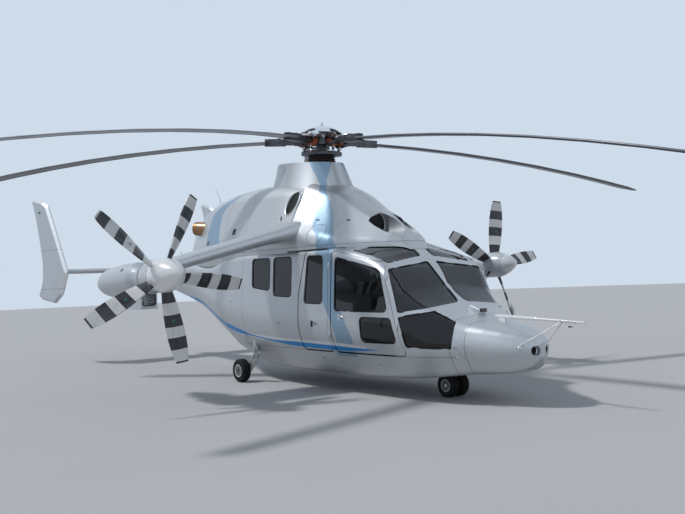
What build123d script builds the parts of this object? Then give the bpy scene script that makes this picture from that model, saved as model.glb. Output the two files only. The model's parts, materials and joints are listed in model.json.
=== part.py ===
from build123d import *
import math
import os

os.makedirs("parts", exist_ok=True)

# Compound helicopter, millimetres. +X is forward, +Y is left, +Z is up and z = 0 is the ground.
# Stations are distances ahead of the rotor mast, and the mast stands mast_x ahead of the origin.

# Driving dimensions
mast_x = 890.0
wall = 55.0
glass = 9.0
glass_inset = 14.0
glass_gap = 1.0
door_gap = 7.0
floor_top = 560.0
bulkhead_aft = -1750.0
bulkhead_front = 3130.0

# Main rotor
rotor_radius = 6300.0
rotor_blades_count = 5
rotor_tilt = 4.4
hub_z = 3800.0
first_blade_azimuth = 1.8
blade_chord = 320.0
blade_root = 900.0
blade_ratio = 0.095
blade_rise = 0.004
blade_droop = 0.0162
blade_pitch_root = 0.0
blade_pitch_tip = -2.0
blade_tip_share = 0.55
mast_radius = 85.0

# Propellers
prop_station = 705.0
prop_y = 3140.0
prop_z = 1740.0
prop_radius = 1148.0
prop_blades_count = 5
prop_tilt = 2.0
right_first_blade = 136.6
left_first_blade = 152.2
spinner_radius = 222.0
spinner_back = 330.0
spinner_front = 505.0
spinner_gap = 12.0

# Wings and nacelles
wing_root_y = 700.0
wing_root_z = 2380.0
wing_tip_z = 1800.0
wing_leading_root = 400.0
wing_leading_tip = 335.0
wing_chord_root = 1040.0
wing_chord_tip = 900.0
wing_ratio = 0.2
nacelle_radius = 232.0
nacelle_back = 2180.0
collar_radius = 165.0

# Tail
fin_y = 1980.0
fin_toe = 6.0
fin_thickness = 105.0
fin_edge_slope = 40.0
stab_leading = -6470.0
fin_station = -6420.0
stab_chord = 760.0
stab_z = 1975.0
stab_ratio = 0.13

# Landing gear
main_station = -1105.0
main_track = 1946.0
main_wheel_radius = 186.0
main_tyre_width = 152.0
nose_station = 2720.0
nose_wheel_radius = 158.0
nose_tyre_width = 118.0
nose_wheel_spread = 190.0
axle_gap = 0.3
seat_gap = 0.3


def at(station):
    return mast_x + station


def cross_plane(station):
    return Plane(origin=(at(station), 0, 0), x_dir=(0, 1, 0), z_dir=(1, 0, 0))


def side_plane(y):
    return Plane(origin=(mast_x, y, 0), x_dir=(1, 0, 0), z_dir=(0, -1, 0))


# A hull section is a rounded outline with one bend at its widest point:
# station, half widths at bottom, waist and shoulder, heights of bottom, waist, shoulder and top,
# radii of the bottom corner and of the shoulder
nose_sections = [
    (4195, 40, 95, 60, 600, 690, 750, 770, 30, 30),
    (4110, 130, 240, 170, 480, 690, 830, 865, 90, 80),
    (3850, 280, 430, 330, 400, 700, 915, 955, 140, 130),
    (3450, 430, 600, 500, 380, 720, 1000, 1050, 180, 180),
]
cabin_sections = [
    (3450, 430, 600, 500, 380, 720, 1000, 1050, 180, 180),
    (3000, 620, 860, 700, 330, 740, 1170, 1225, 200, 200),
    (2650, 690, 945, 890, 295, 780, 1400, 1510, 220, 230),
    (2450, 710, 965, 915, 285, 800, 1715, 1745, 230, 130),
    (2000, 730, 1000, 920, 265, 840, 1915, 2080, 240, 150),
    (1300, 740, 1010, 930, 250, 860, 2030, 2145, 250, 100),
    (0, 700, 1010, 930, 250, 880, 2040, 2150, 250, 90),
    (-900, 620, 1005, 930, 280, 880, 2040, 2150, 260, 90),
    (-1800, 520, 935, 870, 480, 1000, 1990, 2150, 260, 110),
]
boom_sections = [
    (-1800, 520, 935, 870, 480, 1000, 1990, 2150, 260, 110),
    (-2700, 430, 720, 680, 850, 1250, 1900, 2190, 220, 180),
    (-3600, 330, 480, 440, 1180, 1480, 1930, 2195, 170, 150),
    (-5200, 190, 310, 290, 1520, 1740, 2020, 2190, 120, 110),
    (-7300, 90, 180, 160, 1850, 1950, 2090, 2170, 60, 55),
]
waist_radius = 900.0
crown_radius = 2200.0


def rounded_outline(corners, radii):
    # a closed outline of lines and tangent arcs, each radius limited by the sides that meet there
    points = [Vector(*corner) for corner in corners]
    rounds = []
    for index, corner in enumerate(points):
        back = points[index - 1] - corner
        ahead = points[(index + 1) % len(points)] - corner
        half = math.radians(back.get_angle(ahead)) / 2
        reach = min(radii[index] / math.tan(half), 0.47 * back.length, 0.47 * ahead.length)
        radius = reach * math.tan(half)
        middle = (back.normalized() + ahead.normalized()).normalized() * (radius / math.sin(half) - radius)
        rounds.append((corner + back.normalized() * reach, corner + middle, corner + ahead.normalized() * reach))
    for index, (start, middle, end) in enumerate(rounds):
        Line(rounds[index - 1][2], start)
        ThreePointArc(start, middle, end)


def hull_outline(row, inset=0.0, floor=0.0):
    station, bottom, waist, shoulder, z_low, z_waist, z_shoulder, z_top, r_low, r_high = row
    low = max(z_low + inset, floor)
    r_low = max(r_low - 0.8 * inset, 15.0) if floor == 0 else 40.0
    low_half = bottom + (waist - bottom) * (low - z_low) / (z_waist - z_low) - 1.1 * inset
    if floor == 0:
        low_half = bottom - 0.5 * inset
    z_bend = max(z_waist, low + 120.0)
    side = shoulder - 0.8 * inset
    corners = [
        (-low_half, low),
        (low_half, low),
        (waist - inset, z_bend),
        (side, z_shoulder - 0.6 * inset),
        (0, z_top - inset),
        (-side, z_shoulder - 0.6 * inset),
        (-(waist - inset), z_bend),
    ]
    r_high = max(r_high - 0.7 * inset, 12.0)
    radii = [r_low, r_low, waist_radius, r_high, crown_radius, r_high, waist_radius]
    with BuildSketch(cross_plane(station)) as outline:
        with BuildLine():
            rounded_outline(corners, radii)
        make_face()
    return outline.sketch


def row_at(rows, station):
    # a section between the rows of a table, each column following one smooth curve
    for index in range(len(rows) - 1):
        ahead, behind = rows[index], rows[index + 1]
        if ahead[0] >= station >= behind[0]:
            break
    before = rows[max(index - 1, 0)]
    after = rows[min(index + 2, len(rows) - 1)]
    span = ahead[0] - behind[0]
    share = (ahead[0] - station) / span
    row = [station]
    for column in range(1, len(ahead)):
        start, end = ahead[column], behind[column]
        rise = (start - end) / span
        slope_start = level_slope(before[0], before[column], ahead[0], start, rise)
        slope_end = level_slope(behind[0], end, after[0], after[column], rise)
        row.append(start * (1 + 2 * share) * (1 - share) ** 2 + end * share ** 2 * (3 - 2 * share)
                   - span * slope_start * share * (1 - share) ** 2 + span * slope_end * share ** 2 * (1 - share))
    return tuple(row)


def level_slope(x_far, value_far, x_near, value_near, rise):
    # the slope at a row: the mean of both sides, or level where the column turns back
    if x_far == x_near:
        return rise
    other = (value_far - value_near) / (x_far - x_near)
    if other * rise <= 0:
        return 0.0
    return 2 * other * rise / (other + rise)


def hull_loft(rows, stations, inset=0.0, floor=0.0):
    with BuildPart() as body:
        loft([hull_outline(row_at(rows, s), inset, floor).faces()[0] for s in stations], ruled=True)
    return body.part


def stations_between(stations, front, back):
    return [front] + [s for s in stations if front - 20 > s > back + 20] + [back]


nose_stations = [4195, 4170, 4110, 4000, 3850, 3650, 3450]
cabin_stations = [3450, 3250, 3100, 3000, 2900, 2780, 2650, 2540, 2450, 2330, 2200, 2080, 1980, 1800, 1300,
                  0, -900, -1300, -1600, -1800]
boom_stations = [-1800, -2100, -2400, -2700, -3150, -3600, -4300, -5200, -6300, -7300]


# Nose cone
lamp_y = 105.0
lamp_z = 680.0
lamp_radius = 58.0
lamp_back = 4085.0
with BuildPart() as nose_cone:
    add(hull_loft(nose_sections, nose_stations))
    with Locations(*[Plane(origin=(at(lamp_back), side * lamp_y, lamp_z), z_dir=(1, 0, 0))
                     for side in (-1, 1)]):
        Cylinder(lamp_radius, 300, align=(Align.CENTER, Align.CENTER, Align.MIN), mode=Mode.SUBTRACT)
nose_cone.part.label = "nose_cone"

with BuildPart() as landing_lights:
    with Locations(*[Plane(origin=(at(lamp_back), side * lamp_y, lamp_z), z_dir=(1, 0, 0))
                     for side in (-1, 1)]):
        Cylinder(lamp_radius - 1, 45, align=(Align.CENTER, Align.CENTER, Align.MIN))
landing_lights.part.label = "landing_lights"

# Door and window outlines seen from the side: station and height of each corner, and its radius
crew_door_outline = [(1385, 610), (2755, 610), (2590, 1170), (2430, 1700), (2330, 1800), (1385, 2005)]
mid_door_outline = [(600, 610), (1300, 610), (1300, 2015), (770, 2030), (600, 1400)]
crew_window_outline = [(1450, 1170), (2510, 1160), (2375, 1680), (2300, 1725), (1450, 1920)]
crew_low_window_outline = [(1990, 760), (2640, 760), (2560, 1085), (1990, 1095)]
mid_window_outline = [(725, 1275), (1175, 1265), (1175, 1945), (800, 1955)]
rear_windows = [
    [(-90, 1385), (400, 1365), (400, 1960), (-90, 1965)],
    [(-710, 1520), (-190, 1465), (-190, 1965), (-710, 1970)],
]
door_radius = 60.0
door_inner = 800.0
window_radius = 75.0


def side_prism(corners, radius, grow=0.0, inner=740.0, outer=1200.0):
    # a cutter through the right-hand wall with its outline grown by grow
    with BuildPart() as cutter:
        with BuildSketch(side_plane(-inner)):
            with BuildLine():
                rounded_outline(corners, [radius] * len(corners))
            make_face()
            if grow:
                offset(amount=grow, kind=Kind.ARC if grow > 0 else Kind.INTERSECTION)
        extrude(amount=outer - inner)
    return cutter.part


def both_sides(shape):
    return [shape, shape.mirror(Plane.XZ)]


# Front panes, drawn on an upright plane that looks forward and outward
windscreen_heading = -38.0
chin_heading = -60.0
pane_reach = 560.0


def pane_prism(corners, heading, grow=0.0):
    # corners are stations, sides and heights of points on the right-hand skin
    turn = math.radians(heading)
    pane_x_dir = Vector(-math.sin(turn), math.cos(turn), 0)
    pane_normal = Vector(math.cos(turn), math.sin(turn), 0)
    centre = Vector(at(2700), -560, 1300)
    plane = Plane(origin=centre - pane_normal * pane_reach, x_dir=pane_x_dir, z_dir=pane_normal)
    flat = [plane.to_local_coords(Vector(at(x), y, z)) for x, y, z in corners]
    with BuildPart() as cutter:
        with BuildSketch(plane):
            with BuildLine():
                rounded_outline([(p.X, p.Y) for p in flat], [pane_radius] * len(flat))
            make_face()
            if grow:
                offset(amount=grow, kind=Kind.ARC if grow > 0 else Kind.INTERSECTION)
        extrude(amount=2.2 * pane_reach)
    return cutter.part


windscreen_corners = [(2665, -905, 1155), (2950, -75, 1252), (2365, -60, 1800), (2475, -868, 1705)]
chin_corners = [(2672, -915, 1098), (3110, -750, 1165), (3330, -555, 1028), (3315, -625, 705), (2785, -900, 722)]
roof_corners = [(1745, -838), (2060, -832), (2345, -765), (2290, -110), (2120, -110), (1700, -480)]
pane_radius = 45.0

door_relief = 14.0
aft_edge_reach = 180.0


def doorway(outline):
    # the opening is larger along the door's aft and lower edges, where its inner corner swings past
    aft_edge = min(x for x, z in outline) + aft_edge_reach
    sill = min(z for x, z in outline)
    return [(x - door_relief if x < aft_edge else x, z - door_relief if z == sill else z) for x, z in outline]


# Cabin shell: the hull, hollow above the floor
cabin_solid = hull_loft(cabin_sections, cabin_stations)
cabin_room = hull_loft(
    cabin_sections, stations_between(cabin_stations, bulkhead_front, bulkhead_aft), wall, floor_top)
hull_ring = cabin_solid - cabin_room

front_cutters = [
    pane_prism(windscreen_corners, windscreen_heading),
    pane_prism(chin_corners, chin_heading),
]
roof_cutter_depth = 420.0


def roof_prism(grow=0.0):
    with BuildPart() as cutter:
        with BuildSketch(Plane.XY.offset(2200 - roof_cutter_depth)):
            with BuildLine():
                rounded_outline([(at(x), y) for x, y in roof_corners], [pane_radius] * len(roof_corners))
            make_face()
            if grow:
                offset(amount=grow, kind=Kind.INTERSECTION)
        extrude(amount=roof_cutter_depth)
    return cutter.part


front_cutters.append(roof_prism())

nose_well_length = 620.0
nose_well_width = 500.0
nose_well_top = 520.0
with BuildPart() as cabin_shell:
    add(hull_ring)
    for outline in (crew_door_outline, mid_door_outline):
        for cutter in both_sides(side_prism(doorway(outline), door_radius, door_gap, inner=door_inner)):
            add(cutter, mode=Mode.SUBTRACT)
    for outline in rear_windows:
        for cutter in both_sides(side_prism(outline, window_radius)):
            add(cutter, mode=Mode.SUBTRACT)
    for shape in front_cutters:
        for cutter in both_sides(shape):
            add(cutter, mode=Mode.SUBTRACT)
    with Locations((at(nose_station - 20), 0, nose_well_top)):
        Box(nose_well_length, nose_well_width, 600, align=(Align.CENTER, Align.CENTER, Align.MAX),
            mode=Mode.SUBTRACT)
cabin_shell.part.label = "cabin_shell"

# Doors: the same hull wall inside the door outlines
door_parts = {}
for name, outline, windows in (
    ("crew_door", crew_door_outline, [crew_window_outline, crew_low_window_outline]),
    ("mid_door", mid_door_outline, [mid_window_outline]),
):
    with BuildPart() as door_right:
        add(hull_ring)
        add(side_prism(outline, door_radius, inner=door_inner), mode=Mode.INTERSECT)
        for window in windows:
            add(side_prism(window, window_radius), mode=Mode.SUBTRACT)
    door_parts[name + "_right"] = door_right.part
    door_parts[name + "_left"] = door_right.part.mirror(Plane.XZ)

# Glass: a thin layer set into the skin, cut to each window
glass_layer = hull_loft(cabin_sections, stations_between(cabin_stations, 3420, -1500), glass_inset) - hull_loft(
    cabin_sections, stations_between(cabin_stations, 3430, -1510), glass_inset + glass)


def panes(cutters):
    with BuildPart() as pane:
        for cutter in cutters:
            add(glass_layer.intersect(cutter))
    return pane.part


glass_parts = {}
crew_panes = [side_prism(o, window_radius, -glass_gap) for o in (crew_window_outline, crew_low_window_outline)]
glass_parts["crew_door_glass_right"] = panes(crew_panes)
glass_parts["crew_door_glass_left"] = panes([p.mirror(Plane.XZ) for p in crew_panes])
mid_panes = [side_prism(mid_window_outline, window_radius, -glass_gap)]
glass_parts["mid_door_glass_right"] = panes(mid_panes)
glass_parts["mid_door_glass_left"] = panes([p.mirror(Plane.XZ) for p in mid_panes])
windscreen_panes = [pane_prism(windscreen_corners, windscreen_heading, -glass_gap)]
glass_parts["windscreen"] = panes([q for p in windscreen_panes for q in both_sides(p)])
small_panes = [pane_prism(chin_corners, chin_heading, -glass_gap), roof_prism(-glass_gap)]
small_panes += [side_prism(o, window_radius, -glass_gap) for o in rear_windows]
glass_parts["cabin_windows"] = panes([q for p in small_panes for q in both_sides(p)])

# Tail boom, closed all round, and the cone at its end
with BuildPart() as tail_boom:
    add(hull_loft(boom_sections, boom_stations))
tail_boom.part.label = "tail_boom"

tail_end = -7300.0
cone_length = 330.0
cone_z = 2010.0
cone_base_radius = 150.0
cone_tip_radius = 40.0
with BuildPart() as tail_cone:
    with Locations(Plane(origin=(at(tail_end) - seat_gap, 0, cone_z), z_dir=(-1, 0, 0))):
        Cone(cone_base_radius, cone_tip_radius, cone_length, align=(Align.CENTER, Align.CENTER, Align.MIN))
    fillet(tail_cone.edges().sort_by(Axis.X)[0], radius=0.9 * cone_tip_radius)
tail_cone.part.label = "tail_cone"


# Aerofoil: a round nose, two shallow arcs and a thin trailing edge, nose towards +X of its plane
def aerofoil(plane, chord, ratio, quarter=True, edge=0.012):
    thick = chord * ratio
    front = 0.25 * chord if quarter else 0.5 * chord
    nose_x = front - 0.10 * chord
    half_nose = 0.42 * thick
    back = front - chord
    crest_x = front - 0.42 * chord
    with BuildSketch(plane) as section:
        with BuildLine():
            ThreePointArc((nose_x, half_nose), (front, 0), (nose_x, -half_nose))
            ThreePointArc((nose_x, -half_nose), (crest_x, -0.5 * thick), (back, -edge * chord / 2))
            Line((back, -edge * chord / 2), (back, edge * chord / 2))
            ThreePointArc((back, edge * chord / 2), (crest_x, 0.5 * thick), (nose_x, half_nose))
        make_face()
    return section.sketch.faces()[0]


# Stabiliser and end fins
with BuildPart() as stabiliser:
    loft([aerofoil(Plane(origin=(at(stab_leading) - 0.25 * stab_chord, y, stab_z), x_dir=(1, 0, 0),
                         z_dir=(0, -1, 0)), stab_chord, stab_ratio)
          for y in (-fin_y, fin_y)])
    with BuildPart(mode=Mode.PRIVATE) as boom_space:
        add(hull_loft(boom_sections, stations_between(boom_stations, -5500, -7300)))
    add(boom_space.part, mode=Mode.SUBTRACT)

# fin outline in its own plane: distance behind the stabiliser's leading edge, and height
fin_outline = [(0, 1950), (-480, 2780), (-880, 3430), (-1080, 3520), (-1640, 3640), (-1440, 3220),
               (-1250, 2640), (-1140, 2200), (-1140, 1820), (-1380, 1480), (-1250, 1400), (-590, 1310),
               (-290, 1470)]
fin_radii = [60, 300, 180, 60, 25, 300, 400, 300, 300, 60, 60, 120, 120]
with BuildPart() as fin_right:
    fin_frame = Plane(origin=(at(fin_station), -fin_y, 0), x_dir=(1, 0, 0), z_dir=(0, -1, 0))
    with BuildSketch(fin_frame):
        with BuildLine():
            rounded_outline(fin_outline, fin_radii)
        make_face()
    extrude(amount=fin_thickness / 2, both=True, taper=fin_edge_slope)
fin_right_part = fin_right.part.rotate(Axis((at(fin_station - 500), -fin_y, 0), (0, 0, 1)), fin_toe)
stabiliser_parts = (stabiliser.part - fin_right_part - fin_right_part.mirror(Plane.XZ)).solids()
stabiliser_part = Compound(children=[piece for piece in stabiliser_parts if abs(piece.center().Y) < fin_y - 60])

# Upper deck: cowling and mast fairing, sections of the same kind
deck_base = 2105.0
cowl_sections = [
    (250, 900, 945, 560, 1960, 2240, 3010, 3120, 20, 330),
    (-300, 900, 945, 600, 1960, 2250, 3080, 3230, 20, 360),
    (-1500, 850, 900, 580, 1950, 2240, 3110, 3270, 20, 340),
    (-2500, 720, 790, 520, 1900, 2200, 3020, 3250, 20, 280),
    (-3300, 500, 560, 390, 1940, 2240, 2840, 3080, 20, 210),
    (-3900, 310, 350, 250, 1990, 2230, 2590, 2790, 20, 140),
    (-4400, 90, 110, 70, 2060, 2140, 2260, 2330, 10, 35),
]
spine_sections = [
    (2160, 130, 150, 100, 1880, 1950, 1985, 1995, 10, 20),
    (1900, 375, 405, 225, 1890, 2090, 2240, 2320, 15, 90),
    (1550, 630, 665, 280, 1900, 2130, 2440, 2550, 20, 160),
    (1200, 860, 900, 310, 1900, 2180, 2610, 2720, 20, 180),
    (800, 900, 940, 370, 1900, 2220, 2850, 2965, 20, 200),
    (250, 900, 945, 500, 1960, 2240, 3060, 3180, 20, 240),
]
cowl_stations = [250, -20, -300, -900, -1500, -2000, -2500, -2900, -3300, -3600, -3900, -4150, -4400]
spine_stations = [2160, 2030, 1900, 1720, 1550, 1370, 1200, 1000, 800, 520, 250]

with BuildPart() as engine_cowling:
    add(hull_loft(cowl_sections, cowl_stations))
    add(cabin_solid, mode=Mode.SUBTRACT)
    add(hull_loft(boom_sections, boom_stations), mode=Mode.SUBTRACT)
engine_cowling.part.label = "engine_cowling"

# the fairing's lower edge stays above the middle doors, which swing past it
fairing_edge_z = 2045.0
fairing_edge_front = 1450.0
fairing_edge_y = 700.0
with BuildPart() as front_fairing:
    add(hull_loft(spine_sections, spine_stations))
    add(cabin_solid, mode=Mode.SUBTRACT)
    for side in (-1, 1):
        with Locations((at(fairing_edge_front), side * (fairing_edge_y + 250), fairing_edge_z)):
            Box(1500, 500, 400, align=(Align.MAX, Align.CENTER, Align.MAX), mode=Mode.SUBTRACT)
front_fairing.part.label = "front_fairing"

# Oval intakes on the cowling's flanks, sunk into the skin, and two scoops that look forward out of the fairing
intake_centre = (110.0, -680.0, 2790.0)
intake_half_width = 120.0
intake_half_height = 200.0
intake_depth = 30.0
scoop_centre = (185.0, 2370.0)
scoop_half_width = 165.0
scoop_half_height = 185.0
scoop_end = 1480.0
intake_normal = (0.10, -0.80, 0.59)

with BuildPart() as intake_prism:
    with BuildSketch(Plane(origin=(at(intake_centre[0]), *intake_centre[1:]), x_dir=(1, 0, -0.17),
                           z_dir=intake_normal)):
        Ellipse(intake_half_width, intake_half_height)
    extrude(amount=intake_half_height, both=True)
with BuildPart() as scoop_prism:
    with BuildSketch(cross_plane(scoop_end)):
        with Locations((-scoop_centre[0], scoop_centre[1])):
            Ellipse(scoop_half_width, scoop_half_height)
    extrude(amount=900)
with BuildPart() as intake_pocket:
    add(hull_loft(cowl_sections, cowl_stations) - hull_loft(cowl_sections, cowl_stations, intake_depth))
    add(intake_prism.part, mode=Mode.INTERSECT)
with engine_cowling:
    for cutter in both_sides(intake_pocket.part):
        add(cutter, mode=Mode.SUBTRACT)
with front_fairing:
    for cutter in both_sides(scoop_prism.part):
        add(cutter, mode=Mode.SUBTRACT)

pylon_centre = -340.0
pylon_levels = [(3000, 900, 560), (3300, 760, 470), (3480, 700, 430)]
with BuildPart() as mast_fairing:
    for z, length_half, width_half in pylon_levels:
        lean = math.radians(rotor_tilt if z > 3400 else 0)
        with BuildSketch(Plane(origin=(at(pylon_centre), 0, z), x_dir=(math.cos(lean), 0, -math.sin(lean)),
                               z_dir=(math.sin(lean), 0, math.cos(lean)))):
            Ellipse(length_half, width_half)
    loft()
    add(engine_cowling.part, mode=Mode.SUBTRACT)
    add(front_fairing.part, mode=Mode.SUBTRACT)
mast_fairing.part.label = "mast_fairing"

# Wings and nacelles
# distance from the middle, height, leading edge's station, chord, thickness ratio; the root swells into the body
wing_slope = (wing_root_z - wing_tip_z) / (prop_y - 60 - wing_root_y)
wing_rows = [
    (wing_root_y, wing_root_z - 10, wing_leading_root + 150, wing_chord_root + 330, 0.25),
    (980, wing_root_z - 285 * wing_slope, wing_leading_root + 75, wing_chord_root + 160, 0.225),
    (1200, wing_root_z - 500 * wing_slope, wing_leading_root + 10, wing_chord_root + 20, 0.205),
    (1500, wing_root_z - 800 * wing_slope, wing_leading_root - 15, wing_chord_root - 30, wing_ratio),
    (prop_y - 60, wing_tip_z, wing_leading_tip, wing_chord_tip, wing_ratio),
]
with BuildPart() as wing_right:
    loft([aerofoil(Plane(origin=(at(lead) - 0.25 * chord, -y, z), x_dir=(1, 0, 0), z_dir=(0, -1, 0)),
                   chord, ratio) for y, z, lead, chord, ratio in wing_rows], ruled=True)
    add(engine_cowling.part, mode=Mode.SUBTRACT)
    add(front_fairing.part, mode=Mode.SUBTRACT)
    add(cabin_solid, mode=Mode.SUBTRACT)

prop_axis = Vector(math.cos(math.radians(prop_tilt)), 0, math.sin(math.radians(prop_tilt)))
prop_centre = Vector(at(prop_station), -prop_y, prop_z)
prop_frame = Plane(origin=prop_centre, x_dir=(0, -1, 0), z_dir=prop_axis)

nacelle_front = spinner_back + spinner_gap
shaft_radius = 70.0
shaft_length = 150.0
with BuildPart() as nacelle_right:
    with BuildSketch(Plane(origin=prop_centre, x_dir=prop_axis, z_dir=(0, 1, 0))):
        with BuildLine():
            Polyline((-nacelle_front, 0), (-nacelle_front, collar_radius), (-650, collar_radius + 10),
                     (-700, nacelle_radius - 12))
            ThreePointArc((-700, nacelle_radius - 12), (-1050, nacelle_radius), (-1400, nacelle_radius - 12))
            ThreePointArc((-1400, nacelle_radius - 12), (-1850, 160), (-nacelle_back, 12))
            Polyline((-nacelle_back, 12), (-nacelle_back, 0), (-nacelle_front, 0))
        make_face()
    revolve(axis=Axis(prop_centre, prop_axis))
    with Locations(Plane(origin=prop_centre - prop_axis * nacelle_front, z_dir=prop_axis)):
        Cylinder(shaft_radius, shaft_length, align=(Align.CENTER, Align.CENTER, Align.MIN))
    with Locations((at(-120), -prop_y, prop_z - nacelle_radius - 70)):
        Box(760, 230, 260)
    with Locations((at(260), -prop_y, prop_z - nacelle_radius - 75)):
        Box(120, 170, 150, align=(Align.MAX, Align.CENTER, Align.CENTER), mode=Mode.SUBTRACT)
    add(wing_right.part, mode=Mode.SUBTRACT)
nacelle_parts = {"nacelle_right": nacelle_right.part, "nacelle_left": nacelle_right.part.mirror(Plane.XZ)}

# Propellers
spinner_tip_radius = 70.0
tip_edge, tip_middle = [(spinner_front - spinner_tip_radius + spinner_tip_radius * math.cos(math.radians(turn)),
                         spinner_tip_radius * math.sin(math.radians(turn))) for turn in (50, 25)]
with BuildPart() as spinner:
    with BuildSketch(Plane(origin=prop_centre, x_dir=prop_axis, z_dir=(0, 1, 0))):
        with BuildLine():
            Polyline((-spinner_back, 0), (-spinner_back, spinner_radius - 8), (100, spinner_radius))
            ThreePointArc((100, spinner_radius), (340, 150), tip_edge)
            ThreePointArc(tip_edge, tip_middle, (spinner_front, 0))
            Line((spinner_front, 0), (-spinner_back, 0))
        make_face()
    revolve(axis=Axis(prop_centre, prop_axis))
    with Locations(Plane(origin=prop_centre - prop_axis * spinner_back, z_dir=prop_axis)):
        Cylinder(shaft_radius + seat_gap, shaft_length - spinner_gap + 6, align=(Align.CENTER, Align.CENTER, Align.MIN),
                 mode=Mode.SUBTRACT)

# prop blade: radius, chord, pitch in degrees from the disc, thickness ratio
prop_rows = [(175, 150, 58, 0.34), (280, 178, 52, 0.25), (400, 205, 46, 0.18), (540, 225, 40, 0.145),
             (700, 240, 34, 0.12), (850, 234, 29.5, 0.11), (980, 215, 26, 0.10), (1080, 185, 23.5, 0.095),
             (prop_radius, 150, 22, 0.09)]


def prop_blade_set(frame, first, hand):
    shapes = []
    for index in range(prop_blades_count):
        angle = first + index * 360 / prop_blades_count
        faces = []
        for radius, chord, pitch, ratio in prop_rows:
            out = frame.x_dir * math.cos(math.radians(angle)) + frame.y_dir * math.sin(math.radians(angle))
            turn = frame.z_dir.cross(out)
            chord_dir = turn * (hand * math.cos(math.radians(pitch))) + frame.z_dir * math.sin(math.radians(pitch))
            plane = Plane(origin=frame.origin + out * radius, x_dir=chord_dir, z_dir=out)
            faces.append(aerofoil(plane, chord, ratio, quarter=False, edge=0.02))
        with BuildPart() as blade:
            loft(faces, ruled=True)
            add(spinner.part if frame is prop_frame else spinner.part.mirror(Plane.XZ), mode=Mode.SUBTRACT)
        shapes.append(blade.part)
    return Compound(children=shapes)


left_frame = Plane(origin=(prop_centre.X, prop_y, prop_z), x_dir=(0, 1, 0), z_dir=prop_axis)
right_blades = prop_blade_set(prop_frame, right_first_blade - 180, 1)
left_blades = prop_blade_set(left_frame, left_first_blade, -1)

# Main rotor, drawn upright about its own axis and tilted with its mast
rotor_axis = Vector(math.sin(math.radians(rotor_tilt)), 0, math.cos(math.radians(rotor_tilt)))
hub_point = Vector(at(0), 0, hub_z)
rotor_frame = Plane(origin=hub_point, x_dir=(rotor_axis.Z, 0, -rotor_axis.X), z_dir=rotor_axis)
rotor_place = rotor_frame.location

mast_length = 470.0
hub_plate_radius = 230.0
hub_plate_thick = 110.0
arm_middle = 560.0
arm_size = (760.0, 120.0, 84.0)
lug_middle = 300.0
lug_size = (170.0, 220.0, 50.0)
with BuildPart() as rotor_hub_local:
    Cylinder(mast_radius, mast_length, align=(Align.CENTER, Align.CENTER, Align.MAX))
    Cylinder(hub_plate_radius, hub_plate_thick)
    with PolarLocations(0, rotor_blades_count, start_angle=first_blade_azimuth):
        with Locations((arm_middle, 0, 0)):
            Box(*arm_size)
        with Locations((lug_middle, 0, lug_size[2])):
            Box(*lug_size)
rotor_hub = rotor_place * rotor_hub_local.part

cap_radius = 350.0
cap_base = 130.0
cap_height = 115.0
cap_skin = 14.0
cap_sphere = (cap_radius ** 2 + cap_height ** 2) / (2 * cap_height)
cap_centre = cap_base + cap_height - cap_sphere
with BuildPart() as cap_local:
    with Locations((0, 0, cap_centre)):
        Sphere(cap_sphere)
        Sphere(cap_sphere - cap_skin, mode=Mode.SUBTRACT)
    with Locations((0, 0, cap_base)):
        Box(4 * cap_sphere, 4 * cap_sphere, 4 * cap_sphere, align=(Align.CENTER, Align.CENTER, Align.MAX),
            mode=Mode.SUBTRACT)
    with Locations((0, 0, 55.3)):
        Cylinder(55, cap_base + cap_height - cap_skin - 50, align=(Align.CENTER, Align.CENTER, Align.MIN))
hub_cap = rotor_place * cap_local.part

blade_stations = [blade_root, 1700.0, 2500.0, 3300.0, 4100.0, 4900.0, 5600.0, 6080.0, rotor_radius]
blades = []
for index in range(rotor_blades_count):
    azimuth = math.radians(first_blade_azimuth + index * 360 / rotor_blades_count)
    out = Vector(math.cos(azimuth), math.sin(azimuth), 0)
    lead = Vector(math.sin(azimuth), -math.cos(azimuth), 0)
    faces = []
    for r in blade_stations:
        rise = 1000 * (blade_rise * r / 1000 - blade_droop * (r / 1000) ** 2)
        share = (r - blade_root) / (rotor_radius - blade_root)
        pitch = math.radians(blade_pitch_root + share * (blade_pitch_tip - blade_pitch_root))
        chord_dir = lead * math.cos(pitch) + Vector(0, 0, math.sin(pitch))
        chord = blade_chord * (blade_tip_share if r == rotor_radius else 1.0)
        faces.append(aerofoil(Plane(origin=out * r + Vector(0, 0, rise), x_dir=chord_dir, z_dir=out),
                              chord, blade_ratio))
    with BuildPart() as blade:
        loft(faces, ruled=True)
        add(rotor_hub_local.part, mode=Mode.SUBTRACT)
    blades.append(rotor_place * blade.part)
rotor_blades = Compound(children=blades)

# pitch links stand between the swashplate ring and the blade sleeves
link_circle = 290.0
link_radius = 14.0
link_top = -arm_size[2] / 2 - seat_gap
ring_low = -215.0
ring_high = -175.0
mast_gap = 12.0
with BuildPart() as links_local:
    with PolarLocations(link_circle, rotor_blades_count, start_angle=first_blade_azimuth):
        with Locations((0, 0, ring_high - 1)):
            Cylinder(link_radius, link_top - ring_high + 1, align=(Align.CENTER, Align.CENTER, Align.MIN))
    with Locations((0, 0, ring_low)):
        Cylinder(link_circle + 25, ring_high - ring_low, align=(Align.CENTER, Align.CENTER, Align.MIN))
        Cylinder(mast_radius + 0.3, 60, align=(Align.CENTER, Align.CENTER, Align.MIN), mode=Mode.SUBTRACT)
pitch_links = rotor_place * links_local.part

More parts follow.
